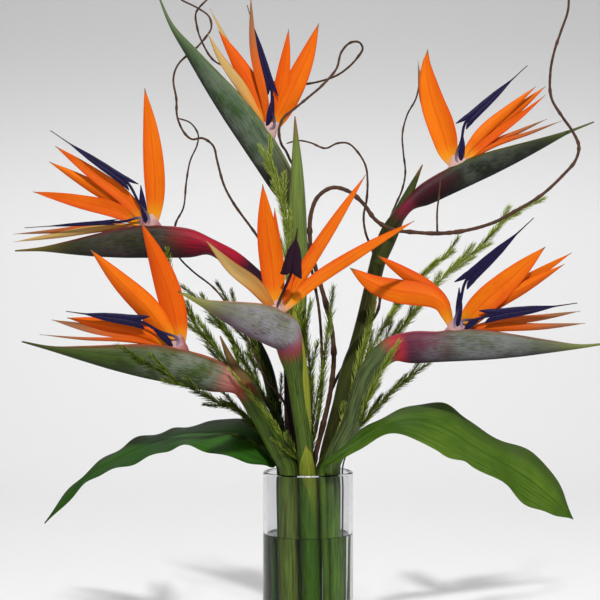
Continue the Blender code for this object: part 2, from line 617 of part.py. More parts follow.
def tongue(plant, number, collection):
    """A blue tongue: a thin neck, two barbs and a long arrow to a fine tip."""
    width, root, barbs, tip = plant["tongues"][number]
    root = np.array(root, float)
    barbs = np.array(barbs, float)
    tip = np.array(tip, float)
    low = np.array([root[0], root[1], -LIP * plant["depth"] + GAP])
    half = width / 2
    arrow = tip - barbs
    back = -7.0 * unit(arrow)
    rows = (
        (low, 1.2), (root + (0, 0, 4), 1.3), ((root + barbs) / 2 + (0, 0, 1), 1.4),
        (barbs + back * 0.1, 1.6), (barbs + arrow * 0.03, half), (barbs + arrow * 0.22, half * 0.72),
        (barbs + arrow * 0.45, half * 0.62), (barbs + arrow * 0.62, half * 0.42),
        (barbs + arrow * 0.74, 0.9), (tip, 0.5),
    )
    centre = np.array([row[0] for row in rows])
    ahead = tangents(centre)
    across = unit(np.cross(np.array([0.0, 1.0, 0.0]), ahead))
    proud = np.cross(ahead, across)
    rings = []
    for place, wing, thick, (_, wide) in zip(centre, across, proud, rows):
        deep = min(wide, TONGUE_THICK / 2)
        rings.append([place + wing * wide, place + thick * deep, place - wing * wide,
                      place - thick * deep])
    suffix = "" if len(plant["tongues"]) == 1 else f"_{number + 1}"
    name = "tongue_" + plant["name"] + suffix
    return loft(name, placed(plant, rings), "tongue", collection)


# ---------------------------------------------------------------- leaves, willow, fern
def strap_leaf(name, spec, collection):
    """A big leaf: its blade is a solid sheet and its stalk runs on under the middle."""
    rows = np.array(spec["blade"], float)
    middle, near, far = (smooth(rows[:, column], 3) for column in (1, 0, 2))
    kept = thin_out(np.concatenate([middle, near, far], axis=1), LEAF_SLACK)
    middle, near, far = kept[:, :3], kept[:, 3:6], kept[:, 6:]
    grid = np.stack([near, (near + middle) / 2, middle, (middle + far) / 2, far], axis=1)
    body = sheet(name, grid, LEAF_THICK, "leaf", collection)
    foot = (*spec["foot"], STEM_FOOT)
    mouth = (*spec["mouth"], MOUTH)
    inside = rows[1:3, 1] - (0, 0, 0.5)
    route = smooth(standing([foot, mouth, rows[0, 1], *inside]), 4)
    radii = np.linspace(spec["stalk_radius"], 0.9, len(route))
    rows = thin_out(np.column_stack([route, radii]), STALK_SLACK)
    stalk = tube(name + " stalk", rows[:, :3], rows[:, 3], WILLOW_SIDES, "leaf", collection)
    return join(body, [stalk], collection)


def rolled_leaf(collection):
    rows = [(*p[:3], p[3], p[3]) for p in ROLLED_LEAF]
    rows = thin_out(smooth(standing(rows), 4), STALK_SLACK)
    rings = oval_rings(rows, np.array([0.0, 1.0, 0.0]), STALK_SIDES)
    return loft("leaf_rolled", rings, "leaf", collection)


def willow(name, branches, collection):
    """A curly branch: its twigs are sunk in it."""
    limbs = []
    for number, (thick, thin, points) in enumerate(branches):
        stands = points[0][2] == STEM_FOOT
        route = smooth(standing(points) if stands else points, 4)
        radii = np.interp(distances(route), (0, distances(route)[-1]), (thick, thin))
        rows = thin_out(np.column_stack([route, radii]), WILLOW_SLACK)
        limbs.append(tube(f"{name} {number}" if number else name, rows[:, :3], rows[:, 3],
                          WILLOW_SIDES, "willow", collection))
    return join(limbs[0], limbs[1:], collection) if limbs[1:] else limbs[0]


def fern_stops(route, bare):
    """Distances along a fern's stem: short steps where needles grow, long ones between."""
    along = distances(route)
    total = along[-1]
    plain = thin_out(np.column_stack([route, along])[along < bare - 3, :3], FERN_SLACK)
    stops = [along[np.argmin(np.linalg.norm(route - point, axis=1))] for point in plain]
    here = bare
    while here + FERN_ROOT < total - 2:
        stops += [here, here + FERN_ROOT]
        here += FERN_PITCH
    return np.array(stops + [total])


def needle_reach(root, way, length, obstacles):
    """The part of a needle that stays clear of everything else."""
    for share in (1.0, 0.75, 0.5):
        tip = root + way * length * share
        samples = [root + (tip - root) * part for part in (0.35, 0.7, 1.0)]
        clear = True
        for tree in obstacles:
            for sample in samples:
                if tree.find_nearest(Vector(sample), 0.0012)[0] is not None:
                    clear = False
            hit = tree.ray_cast(Vector(root), Vector(way), length * share)[0]
            if hit is not None:
                clear = False
        if clear:
            return tip
    return None


def fern_core(name, branches, collection):
    """A slim stem, and what its needles need: middles, directions and where they grow."""
    radius, bare_height, points = branches[0]
    route = smooth(standing(points), 6)
    along = distances(route)
    start = np.interp(MOUTH + bare_height, route[:, 2], along)
    stops = fern_stops(route, start)
    centre = points_at(route, stops)
    thick = np.interp(stops, (0, along[-1]), (radius, FERN_TIP))
    rows = np.column_stack([centre, thick, thick])
    rings = oval_rings(rows, np.array([0.15, -1.0, 0.0]), FERN_SIDES)
    core = loft(name, rings, "fern", collection)
    grows = (stops[:-1] >= start - 0.01) & (np.diff(stops) < FERN_ROOT + 0.1)
    share = np.clip((stops[:-1] - start) / (stops[-1] - start), 0, 1)
    return core, (centre[:-1] + centre[1:]) / 2 * MM, tangents(centre), grows, share


def fern_needles(core, middles, ahead, grows, share, obstacles):
    """Draw the short stretches of a core out into four needles each."""
    editable = bmesh.new()
    editable.from_mesh(core.data)
    roots = []
    for face in editable.faces:
        spot = np.array(face.calc_center_median())
        row = int(np.argmin(np.linalg.norm(middles - spot, axis=1)))
        if len(face.verts) == 4 and grows[row]:
            roots.append((face, row, spot, np.array(face.normal)))
    for face, row, spot, out in roots:
        length = FERN_NEEDLE * (1 - 0.4 * share[row]**2) * MM
        way = ahead[row] * math.cos(FERN_ANGLE) + out * math.sin(FERN_ANGLE)
        tip = needle_reach(spot, unit(way), length, obstacles)
        if tip is not None:
            made = bmesh.ops.poke(editable, faces=[face])
            made["verts"][0].co = tip
    editable.to_mesh(core.data)
    editable.free()
    tidy(core.data)


# ---------------------------------------------------------------- vase and water
def turned(name, profile, kind, collection, steps=36):
    """A solid turned round Z from a profile that starts and ends on the axis."""
    mesh = bpy.data.meshes.new(name)
    points = [(x * MM, 0, z * MM) for x, z in profile]
    mesh.from_pydata(points, [(i, i + 1) for i in range(len(points) - 1)], [])
    made = new_object(name, mesh, kind, collection)
    screw = made.modifiers.new("turn", "SCREW")
    screw.steps = steps
    screw.render_steps = steps
    screw.use_merge_vertices = True
    screw.merge_threshold = 0.00001
    made = evaluated(made, collection)
    tidy(made.data, merge=0.00001)
    return made


def vase(collection):
    inner = VASE_RADIUS - VASE_WALL
    top = VASE_HEIGHT
    profile = ((0, VASE_FLOOR), (inner - 2.5, VASE_FLOOR), (inner, VASE_FLOOR + 2.5),
               (inner, top - 0.8), (inner + 0.8, top), (VASE_RADIUS - 0.8, top),
               (VASE_RADIUS, top - 0.8), (VASE_RADIUS, VASE_EDGE),
               (VASE_RADIUS - VASE_EDGE, 0), (0, 0))
    return turned("vase", profile, "glass", collection)


def stem_ends():
    """Foot, mouth, greatest radius and sides of every stem that stands in the water."""
    stout = 1 / math.cos(math.pi / STALK_SIDES)
    slim = 1 / math.cos(math.pi / FERN_SIDES)
    stems = [(p["stalk"][0][:3], p["stalk"][1][:3], p["stalk"][0][3] * stout, STALK_SIDES)
             for p in FLOWERS]
    stems += [((*s["foot"], STEM_FOOT), (*s["mouth"], MOUTH), s["stalk_radius"], WILLOW_SIDES)
              for s in LEAVES.values()]
    stems.append((ROLLED_LEAF[0][:3], ROLLED_LEAF[1][:3], ROLLED_LEAF[0][3] * stout,
                  STALK_SIDES))
    for branches in WILLOW.values():
        radius, _, points = branches[0]
        stems.append((points[0], points[1], radius, WILLOW_SIDES))
    for branches in FERNS.values():
        radius, _, points = branches[0]
        stems.append((points[0], points[1], radius * slim, WILLOW_SIDES))
    return stems


def water(collection):
    """The water: a turned solid with a plain hole for each stem."""
    inner = VASE_RADIUS - VASE_WALL - GAP
    low = VASE_FLOOR + GAP
    profile = ((0, low), (inner - 2.5, low), (inner, low + 2.5), (inner, WATER_LEVEL),
               (0, WATER_LEVEL))
    body = turned("water", profile[::-1], "water", collection)
    cutters = bpy.data.collections.new("stem holes")
    bpy.context.scene.collection.children.link(cutters)
    for number, (foot, mouth, radius, sides) in enumerate(stem_ends()):
        foot = np.array(foot, float)
        way = (np.array(mouth, float) - foot) / (mouth[2] - foot[2])
        ends = [foot + way * (level - foot[2]) for level in (0.0, WATER_LEVEL + 10)]
        rows = [(*end, radius + GAP, radius + GAP) for end in ends]
        rings = oval_rings(rows, np.array([0.0, 1.0, 0.0]), sides)
        cutter = loft(f"hole {number}", rings, "water", cutters)
        cutter.hide_render = True
        cutter.display_type = "WIRE"
    cut = body.modifiers.new("stem holes", "BOOLEAN")
    cut.operation = "DIFFERENCE"
    cut.operand_type = "COLLECTION"
    cut.collection = cutters
    return body


def tree_of(thing):
    mesh = thing.data
    return BVHTree.FromPolygons([v.co for v in mesh.vertices],
                                [tuple(p.vertices) for p in mesh.polygons])


def build():
    for old in list(bpy.data.objects):
        bpy.data.objects.remove(old)
    parts = bpy.data.collections.new("bird_of_paradise_bouquet")
    bpy.context.scene.collection.children.link(parts)
    solids = [vase(parts)]
    water(parts)
    for plant in FLOWERS:
        solids.append(stalk_and_bract(plant, parts))
        solids.append(sepals(plant, parts))
        for number in range(len(plant["tongues"])):
            solids.append(tongue(plant, number, parts))
    for name, spec in LEAVES.items():
        solids.append(strap_leaf(name, spec, parts))
    solids.append(rolled_leaf(parts))
    for name, branches in WILLOW.items():
        solids.append(willow(name, branches, parts))
    trees = {solid.name: tree_of(solid) for solid in solids}
    sprays = [fern_core(name, branches, parts) for name, branches in FERNS.items()]
    for spray in sprays:
        trees[spray[0].name] = tree_of(spray[0])
    for spray in sprays:
        others = [tree for name, tree in trees.items() if name != spray[0].name]
        fern_needles(*spray, others)
        trees[spray[0].name] = tree_of(spray[0])


build()
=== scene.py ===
# %% [markdown]
# # Bird of paradise bouquet in a glass vase
# Six Strelitzia flowers stand in water in a clear cylinder vase, with two strap leaves and a
# rolled one, curly willow and asparagus fern.  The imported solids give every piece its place.
# Here each piece is made again as a smooth, finely divided surface and takes the place of
# its plain solid.
# %% Load the frame
import math

import bpy
import numpy as np
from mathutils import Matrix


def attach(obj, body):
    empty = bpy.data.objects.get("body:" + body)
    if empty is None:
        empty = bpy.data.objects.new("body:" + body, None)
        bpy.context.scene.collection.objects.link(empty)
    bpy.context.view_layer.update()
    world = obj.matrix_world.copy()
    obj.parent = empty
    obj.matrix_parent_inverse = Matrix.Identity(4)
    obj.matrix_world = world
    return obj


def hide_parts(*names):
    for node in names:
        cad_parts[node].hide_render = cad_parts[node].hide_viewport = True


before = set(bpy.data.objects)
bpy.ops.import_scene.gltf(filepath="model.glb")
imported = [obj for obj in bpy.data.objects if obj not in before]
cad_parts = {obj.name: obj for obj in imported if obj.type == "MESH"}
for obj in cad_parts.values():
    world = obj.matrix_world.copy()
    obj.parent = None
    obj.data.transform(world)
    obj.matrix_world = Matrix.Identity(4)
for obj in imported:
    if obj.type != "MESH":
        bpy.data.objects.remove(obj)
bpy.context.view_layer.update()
MM = 0.001
rng = np.random.default_rng(7)

# %% [markdown]
# ## Curves and surfaces
# Stems, bracts, petals and needles are all the same kind of form: a closed ring that is
# carried along a curve while it changes its size.  They could be modelled by hand, but as
# grids of points worked out with numpy each shape stays a formula that is quick to change.
# A curve is a Hermite spline through a few points.  Every grid point also carries
# named values, such as how far along its petal it lies, which the finishes read later.


# %% Curves
def smooth(points, per_span):
    """Hermite spline: cubic spans that share the slope between their neighbours."""
    knots = np.array(points, float)
    chord = np.sqrt(np.linalg.norm(np.diff(knots[:, :3], axis=0), axis=1))
    at_knots = np.concatenate([[0.0], np.cumsum(chord)])
    slopes = np.gradient(knots, at_knots, axis=0)
    spans = len(knots) - 1
    where = np.arange(spans * per_span + 1) / per_span
    first = np.minimum(where.astype(int), spans - 1)
    t = (where - first)[:, None]
    width = np.diff(at_knots)[first][:, None]
    return ((2 * t**3 - 3 * t**2 + 1) * knots[first]
            + (t**3 - 2 * t**2 + t) * width * slopes[first]
            + (3 * t**2 - 2 * t**3) * knots[first + 1]
            + (t**3 - t**2) * width * slopes[first + 1])


def unit(vectors):
    """Each vector divided by its length."""
    return vectors / np.maximum(np.linalg.norm(vectors, axis=-1, keepdims=True), 1e-12)


def tangents(route):
    """Unit differences between each point's neighbours."""
    return unit(np.gradient(route, axis=0))


def distances(route):
    """Running sum of the lengths between neighbouring points."""
    steps = np.linalg.norm(np.diff(route[:, :3], axis=0), axis=1)
    return np.concatenate([[0.0], np.cumsum(steps)])


def rows_at(route, wanted):
    """All columns of a route, at wanted distances along it."""
    along = distances(route)
    return np.stack([np.interp(wanted, along, column) for column in route.T], axis=1)


def ease(value, low, high):
    """Smooth step: 0 below low, 1 above high, 3t^2 - 2t^3 between."""
    t = np.clip((value - low) / (high - low), 0, 1)
    return t * t * (3 - 2 * t)


def bell(value, middle, width):
    """Bell curve of height 1."""
    return np.exp(-(((value - middle) / width) ** 2))


print("spline through 3 points:", smooth(((0, 0, 0), (1, 1, 0), (2, 0, 0)), 4).shape)


# %% Rings
def circle(sides):
    """The angles of a ring's corners, as one row."""
    return np.linspace(0, 2 * math.pi, sides, endpoint=False)[None]


def rings(route, x, first, y, second):
    """Route + x * first direction + y * second direction, for each row and corner."""
    return (route[:, None, :3] + x[..., None] * first[:, None]
            + y[..., None] * second[:, None])


def square_to(route, front):
    """Unit directions at each point of a route: one towards `front`, one square to it."""
    ahead = tangents(route[:, :3])
    front = np.broadcast_to(np.array(front, float), ahead.shape)
    wide = unit(front - (ahead * front).sum(axis=1, keepdims=True) * ahead)
    return wide, np.cross(wide, ahead)


def tube(route, radius, sides, front=(0.0, 1.0, 0.0)):
    """Rings of (radius * cos, radius * sin) square to the route."""
    wide, deep = square_to(route, front)
    return rings(route, radius * np.cos(circle(sides)), deep,
                 radius * np.sin(circle(sides)), wide)


def level_rings(rows, sides):
    """Level ellipses: each row gives half width, half depth and height."""
    wide, deep, height = (np.array(rows, float)[:, [column]] for column in range(3))
    return np.stack(np.broadcast_arrays(wide * np.cos(circle(sides)),
                                        deep * np.sin(circle(sides)), height), axis=-1)


print("square tube:", tube(np.eye(3), np.ones((3, 1)), 4).shape)


# %% Skins
def skin(grid, **values):
    """Closed surface over rows of rings: quads between rings, a fan at each end."""
    rows, sides = grid.shape[:2]
    points = np.concatenate([grid.reshape(-1, 3), grid[[0, -1]].mean(axis=1)])
    row = np.arange(rows - 1)[:, None] * sides
    side = np.arange(sides)
    ahead = (side + 1) % sides
    quads = np.stack(np.broadcast_arrays(row + side, row + ahead, row + sides + ahead,
                                         row + sides + side), axis=-1).reshape(-1, 4)
    last = (rows - 1) * sides
    start = np.stack([ahead, side, np.full(sides, rows * sides)], axis=1)
    end = np.stack([side + last, ahead + last, np.full(sides, rows * sides + 1)], axis=1)
    triangles = np.concatenate([start, end])
    volume = np.linalg.det(points[np.concatenate([triangles, quads[:, :3],
                                                  quads[:, [0, 2, 3]]])]).sum()
    if volume < 0:              # the faces look inwards, so they are turned over
        quads, triangles = quads[:, ::-1], triangles[:, ::-1]
    carried = {}
    for name, value in values.items():
        value = np.broadcast_to(value, (rows, sides)).astype(float)
        carried[name] = np.concatenate([value.ravel(), value[[0, -1]].mean(axis=1)])
    return dict(points=points, quads=quads, triangles=triangles, values=carried)


def added(name, data):
    """A new object in the scene."""
    made = bpy.data.objects.new(name, data)
    bpy.context.scene.collection.objects.link(made)
    return made


def put(name, skins, finish, node):
    """One object from several skins; it rides on the root and takes a solid's place."""
    starts = np.cumsum([0] + [len(s["points"]) for s in skins])
    points = np.concatenate([s["points"] for s in skins]) * MM
    quads, triangles = (np.concatenate([s[kind] + start for s, start in zip(skins, starts)])
                        for kind in ("quads", "triangles"))
    mesh = bpy.data.meshes.new(name)
    mesh.vertices.add(len(points))
    mesh.vertices.foreach_set("co", points.ravel())
    mesh.loops.add(quads.size + triangles.size)
    mesh.loops.foreach_set("vertex_index", np.concatenate([quads.ravel(), triangles.ravel()]))
    mesh.polygons.add(len(quads) + len(triangles))
    sizes = np.repeat([4, 3], [len(quads), len(triangles)])
    mesh.polygons.foreach_set("loop_start", np.cumsum(sizes) - sizes)
    mesh.update(calc_edges=True)
    mesh.validate()
    for key in skins[0]["values"]:
        layer = mesh.attributes.new(key, "FLOAT", "POINT")
        layer.data.foreach_set("value", np.concatenate([s["values"][key] for s in skins]))
    mesh.shade_smooth()
    mesh.materials.append(finish)
    piece = added(name, mesh)
    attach(piece, "root")
    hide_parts(node)
    print(f"{name}: {2 * len(quads) + len(triangles)} triangles")


# %% [markdown]
# ## Finishes
# Plant surfaces are never one colour: they have bloom, veins, streaks and blotches.  Each
# finish is a node tree, which could be wired by hand; written as sums and mixes of a few
# values it is shorter and easy to change.  One small class wraps a socket, so that an
# expression such as `1 - mask * 0.5` adds its Math nodes by itself.
# %% The node writer
LAMPS = 1.25                    # the light on a piece that faces the lamps; 1 shows paint as is


def paint(colour, lamps):
    """Red, green and blue of 0 to 255 as linear light, ((c + 0.055) / 1.055) ^ 2.4, over
    the lamps' light, so that the lit paint looks like the colour."""
    part = np.array(colour) / 255
    linear = np.where(part < 0.04045, part / 12.92, ((part + 0.055) / 1.055) ** 2.4)
    return (*(linear / lamps).tolist(), 1.0)


def operator(operation, swapped=False):
    """A method that adds a Math node; the swapped one serves `1 - value` and its like."""
    def method(self, other):
        first, second = (other, self) if swapped else (self, other)
        return self.finish.node("Math", dict(operation=operation), {0: first, 1: second})
    return method


class Value:
    """A socket in a finish; operators add Math nodes."""

    def __init__(self, finish, socket):
        self.finish, self.socket = finish, socket

    __add__, __radd__ = operator("ADD"), operator("ADD", True)
    __sub__, __rsub__ = operator("SUBTRACT"), operator("SUBTRACT", True)
    __mul__, __rmul__ = operator("MULTIPLY"), operator("MULTIPLY", True)


class Finish:
    """A material under construction."""

    def __init__(self, name, lamps=LAMPS, **constants):
        self.lamps = lamps
        self.material = bpy.data.materials.new(name)
        self.material.use_nodes = True
        self.tree = self.material.node_tree
        self.shader = self.tree.nodes["Principled BSDF"]
        for key, value in constants.items():
            self.shader.inputs[key.replace("_", " ")].default_value = value

    def plug(self, socket, value):
        if isinstance(value, Value):
            self.tree.links.new(value.socket, socket)
        else:
            socket.default_value = value

    def node(self, kind, settings, inputs, output=0):
        """Any node: its settings first, then the values or links of its sockets."""
        made = self.tree.nodes.new("ShaderNode" + kind)
        for key, value in settings.items():
            setattr(made, key, value)
        for key, value in inputs.items():
            self.plug(made.inputs[key], value)
        return Value(self, made.outputs[output])

    def read(self, *names):
        """The values that the skin's points carry under these names."""
        return [self.node("Attribute", dict(attribute_name=name), {}, 2) for name in names]

    def place(self):
        return self.node("TexCoord", {}, {}, 3)

    def height(self):
        return self.node("SeparateXYZ", {}, {0: self.place()}, 2)

    def vector(self, x, y, z):
        return self.node("CombineXYZ", {}, {0: x, 1: y, 2: z})

    def noise(self, vector, scale, detail=3.0, roughness=0.55):
        return self.node("TexNoise", {}, {"Vector": vector, "Scale": scale, "Detail": detail,
                                          "Roughness": roughness})

    def step(self, value, low, high):
        """Smooth step from 0 at low to 1 at high; it falls where low is above high."""
        return self.node("MapRange", dict(interpolation_type="SMOOTHSTEP"),
                         {0: value, 1: low, 2: high})

    def layers(self, colour, *layers):
        """Each layer's colour is mixed over the ones before it, by its share.  A colour is
        a value, or red, green and blue."""
        for layer, share in layers:
            low, high = (end if isinstance(end, Value) else paint(end, self.lamps)
                         for end in (colour, layer))
            colour = self.node("Mix", dict(data_type="RGBA"), {0: share, 6: low, 7: high}, 2)
        return colour

    def bump(self, height, distance, strength):
        self.plug(self.shader.inputs["Normal"],
                  self.node("Bump", {}, {"Strength": strength, "Distance": distance,
                                         "Height": height}))

    def done(self, colour, roughness):
        self.plug(self.shader.inputs["Base Color"], colour)
        self.plug(self.shader.inputs["Roughness"], roughness)
        return self.material


print("middle grey as linear light:", round(paint((128, 128, 128), 1.0)[0], 3))

# %% [markdown]
# ## The flowers' layout
# A Strelitzia bract is a boat-shaped leaf that lies across the top of its stalk.  All points
# could be given in the vase's frame, but a flower is easier to shape in its own: x runs along
# the bract to its tip, y to the front and z up, all from the throat, where the petals come
# out.  A flower is its frame and the few points that its pieces are drawn through, in
# millimetres, the same places as in the solids.
# %% Stems in the vase
VASE_HEIGHT = 230.0
VASE_RADIUS = 45.0
VASE_WALL = 4.0
VASE_FLOOR = 12.0
WATER_LEVEL = 167.0
FOOT = VASE_FLOOR + 0.6         # height of the stems' lower ends
MOUTH = 236.0                   # height at which they lean on the rim
STRAIGHT_TO = (WATER_LEVEL + 3, 212.0)


def standing(points):
    """A route whose stretch from foot to mouth is straight; these two get their height."""
    foot, mouth = (np.insert(np.array(point, float), 2, height)
                   for point, height in zip(points, (FOOT, MOUTH)))
    parts = [(level - FOOT) / (MOUTH - FOOT) for level in STRAIGHT_TO]
    return [foot, *(foot + (mouth - foot) * part for part in parts), mouth, *points[2:]]


print("stems are straight from", FOOT, "to", STRAIGHT_TO[-1], "mm")


# %% Flowers
FLOWERS = {}


def flower(name, **plant):
    """Yaw and rise turn the bract, in degrees; length, depth and the height of its tip are
    its sizes.  Stalk and sheaths are rows of x, y, z and radius, z left out for the stalk's
    foot and mouth.  A sepal is its width, points, look (0 fresh, 1 withered, 2 pale) and the
    place of its widest part; a tongue its width, root, barbs, tip and the third petal's end."""
    FLOWERS[name] = plant


flower(
    "upper_left", throat=(-158, 5, 483), side=-1, yaw=-8, rise=0, length=141, depth=39, tip=-32,
    stalk=((-15, 8, 6.5), (-15, 8, 6.5), (-17, 8, 270, 6.5), (-19, 6, 349, 6.5),
        (-24, 5, 377, 6.8), (-33, 4, 400, 7.2), (-46, 3, 417, 7.8), (-60, 1, 430, 8.3),
        (-76, -1, 442, 9)),
    sepals=(
        (21, ((-3, 0, -8), (-5, 0, 22), (-4, 0, 50), (0, 0, 90), (6, 0, 131))),
        (15, ((0, 0, -8), (30, -1, 24), (64, -1, 49), (99, 0, 74))),
        (15, ((2, 0, -8), (33, -2, 17), (68, -5, 37), (108, -8, 59))),
        (16, ((4, 0, -8), (36, -1, 8), (76, -2, 18), (123, -2, 28))),
        (6, ((6, -1, -8), (50, -3, -7), (100, -4, -12), (144, -3, -15)), 1),
        (8, ((7, 1, -8), (50, 0, -9.5), (100, 0, -17), (141, 2, -23)), 2)),
    tongues=((10, (1, 4.8, -3), (22, 5, 35), (102, 6, 89), (9, 4, 33)), (5, (9, 4.8, -4),
        (40, 5, -4), (129, 6, -9))))
flower(
    "top", throat=(-34, 12, 576), side=-1, yaw=-10, rise=56, length=184, depth=38, tip=-23,
    stalk=((-2, 24, 7.5), (-3, 24, 7.5), (-8, 22, 310, 7.5), (-9, 20, 371, 7.6), (-10, 18, 421, 8),
        (-12, 16, 462, 8.6)),
    sheaths=(((-9, 19, 390, 7.4), (-10, 13, 430, 9.6), (-11, 7, 480, 10.4), (-11, 0, 530, 6.6),
        (-13, -6, 584, 0.7)),),
    sepals=(
        (15, ((-1, 0, -8), (24, -2, 22), (49, -2, 46), (73, -1, 67))),
        (22, ((-3, 0, -8), (16, -1, 28), (38, -3, 64), (61, -6, 95))),
        (9, ((2, 0, -8), (22, 4, 5), (74, 11, 27), (120, 13, 55)), 1),
        (18, ((5, 0, -8), (42, -1, 3), (80, -2, 6), (114, -2, 7))),
        (7, ((6, -1, -8), (50, -5, 0), (100, -7, 7), (140, -8, 12)), 2),
        (11, ((8, 1, -8), (50, 2, -5), (90, 3, -6), (117, 4, -3)), 2)),
    tongues=((9, (0, 4.8, -3), (32, 4, 19), (117, 3, 46), (25, 4, 17)),))
flower(
    "front", throat=(-27, -85, 399), side=-1, yaw=50, rise=18, length=132, depth=43, tip=-33,
    neckless=2, plum=1.0,
    stalk=((6, -27, 7.5), (-2, -29, 7.5), (-4, -36, 262, 7.5), (-7, -43, 285, 7.8),
        (-10, -50, 309, 8.2), (-13, -58, 331, 9), (-17, -68, 349, 11.5)),
    sheaths=(((4, -28, 60, 7.7), (1, -28, 205, 7.9), (-1, -30, 233, 8), (-2, -36, 250, 5.8),
        (-3, -43, 264, 0.7)), ((1, -36, 266, 2), (-3, -48, 303, 5.2), (-6, -59, 336, 5.2),
        (-10, -68, 366, 4.2), (-15, -76, 390, 2.8), (-19, -81, 409, 0.7))),
    sepals=(
        (23, ((3, 0, -9), (15, -5, 30), (32, -8, 66), (48, -9, 101))),
        (12, ((0, -1, -9), (8, -3, 28), (18, -5, 56), (29, -5, 84))),
        (14, ((6, 0, -9), (34, -4, 5), (66, -9, 13), (98, -14, 26)), 2),
        (5, ((-3, 1, -9), (-6, 6, 17), (-12, 14, 40))),
        (13, ((-4, 1, -9), (-16, 20, 24), (-37, 52, 62), (-61, 92, 101))),
        (13, ((-5, 0, -9), (-12, 14, 42), (-20, 31, 90), (-27, 50, 137))),
        (6, ((-2, 1, -9), (-2, 5, 18), (-1, 7, 36), (1, 9, 54)))),
    tongues=((19, (6, 4.8, -3), (15, 20, 24), (46, 44, 56)),))
flower(
    "lower_left", throat=(-125, -45, 362), side=-1, yaw=8, rise=12, length=147, depth=42, tip=-32,
    stalk=((-15, -22, 9), (-20, -21, 9), (-31, -25, 256, 9.2), (-42, -31, 279, 9.4),
        (-52, -35, 297, 9.6), (-61, -37, 312, 9.8)),
    sheaths=(((-48, -33, 290, 9), (-60, -35, 314, 9.4), (-75, -36, 341, 4.6),
        (-86, -37, 366, 0.7)),),
    sepals=(
        (25, ((-2, 0, -9), (10, -1, 24), (25, -1, 52), (43, 0, 80), (60, 2, 104))),
        (23, ((1, 0, -9), (32, -2, 20), (68, -4, 44), (102, -6, 68))),
        (17, ((5, 0, -9), (40, -1, 0), (76, -2, 0), (110, -2, -1))),
        (12, ((6, -1, -9), (45, -4, -4), (86, -5, -6.5), (124, -5, -6)), 1),
        (4, ((8, 1, -9), (50, 1, -10.5), (92, 1, -17.5), (132, 1, -22)), 1)),
    tongues=((12, (2, 4.8, -3), (40, 4.5, 10), (112, 4, 5), (29, 4, 7)),))
flower(
    "upper_right", throat=(150, 25, 545), side=1, yaw=-8, rise=25, length=149, depth=31, tip=-26,
    stalk=((17, 15, 7.5), (18, 15, 7.5), (30, 17, 285, 7.8), (46, 19, 340, 8), (57, 20, 381, 7.8),
        (64, 21, 411, 7.6), (74, 22, 450, 8), (83, 21, 472, 8)),
    sheaths=(((30, 17, 285, 7.5), (46, 18, 340, 9.6), (59, 16, 374, 6.2), (69, 12, 400, 0.7)),
        ((70, 21, 436, 7.2), (84, 22, 470, 8.6), (101, 20, 506, 5.2), (116, 18, 538, 0.7))),
    sepals=(
        (27, ((-4, 0, -7), (-4, 0, 11), (-2, 0, 23), (0, 0, 39), (2, 0, 60), (6, 1, 80),
            (12, 1, 98), (20, 2, 112))),
        (8, ((-4, -1, -7), (-6, -6, 30), (-3, -9, 70), (9, -10, 106)), 1),
        (12, ((1, 0, -7), (36, -1, 12), (74, -1, 23), (108, 0, 32))),
        (13, ((3, 0, -7), (40, -3, 9), (82, -5, 19), (120, -7, 28))),
        (8, ((5, 1, -7), (40, 0, 3), (78, 0, 11), (113, 2, 20))),
        (6, ((6, -1, -7), (40, -2, -2), (76, -3, -2.5), (106, -3, -3)), 1),
        (5, ((7, 1, -7), (44, 1, -4.5), (84, 1, -8.5), (118, 1, -11)), 1)),
    tongues=((11, (0, 4.8, -3), (24, 5, 29), (107, 6, 55), (16, 4, 18)),))
flower(
    "lower_right", throat=(144, -38, 379), side=1, yaw=8, rise=3, length=146, depth=37, tip=-27,
    shoulder=0.24,
    stalk=((22, -9, 9), (23, -12, 9), (30, -13, 254, 9.2), (41, -15, 275, 9.5),
        (49, -19, 300, 9.8), (55, -24, 320, 10), (65, -28, 338, 10.5)),
    sepals=(
        (24, ((-4, 0, -8), (-9, 1, 9), (-12, 1, 18), (-20, 1, 25), (-36, 1, 30), (-56, 1, 34),
            (-78, 0, 42), (-101, 0, 59)), 0, 0.54),
        (15, ((-3, 0, -8), (-8, -1, 10), (-13, -3, 22), (-26, -7, 35), (-48, -10, 51),
            (-74, -11, 70)), 0, 0.5),
        (25, ((2, 0, -8), (24, -1, 15), (50, -2, 36), (90, -3, 69))),
        (13, ((3, 0, -8), (36, -4, 20), (74, -7, 40), (115, -9, 62))),
        (14, ((4, 0, -8), (34, -1, 14), (70, -1, 32), (107, 0, 51))),
        (8, ((6, 0, -8), (44, -3, -2), (84, -4, 1), (120, -4, 5)), 1),
        (8, ((7, 0, -8), (44, -1, -7), (84, -2, -8), (124, -2, -7)), 1)),
    tongues=((13, (-1, 4.8, -3), (12, 5, 40), (80, 6, 97), (5, 4, 34)), (12, (6, 4.8, -3),
        (32, 5, 5), (117, 6, 13), (22, 4, 1))))


# %% Places in a flower
def axes(plant):
    """Rows: along the bract, to the front and up, as unit vectors in the vase's frame."""
    yaw, rise = math.radians(plant["yaw"]), math.radians(plant["rise"])
    level = np.array([plant["side"] * math.cos(yaw), -math.sin(yaw), 0.0])
    along = level * math.cos(rise) + np.array([0, 0, math.sin(rise)])
    up = -level * math.sin(rise) + np.array([0, 0, math.cos(rise)])
    return np.stack([along, np.cross(up, along) * -plant["side"], up])


def placed(plant, points):
    """Throat + x * along + y * front + z * up."""
    return np.asarray(plant["throat"], float) + np.asarray(points, float) @ axes(plant)


def facing(plant):
    """The vase's front, in the flower's own frame."""
    return axes(plant) @ np.array([0.0, -1.0, 0.0])


print("flowers:", ", ".join(FLOWERS))

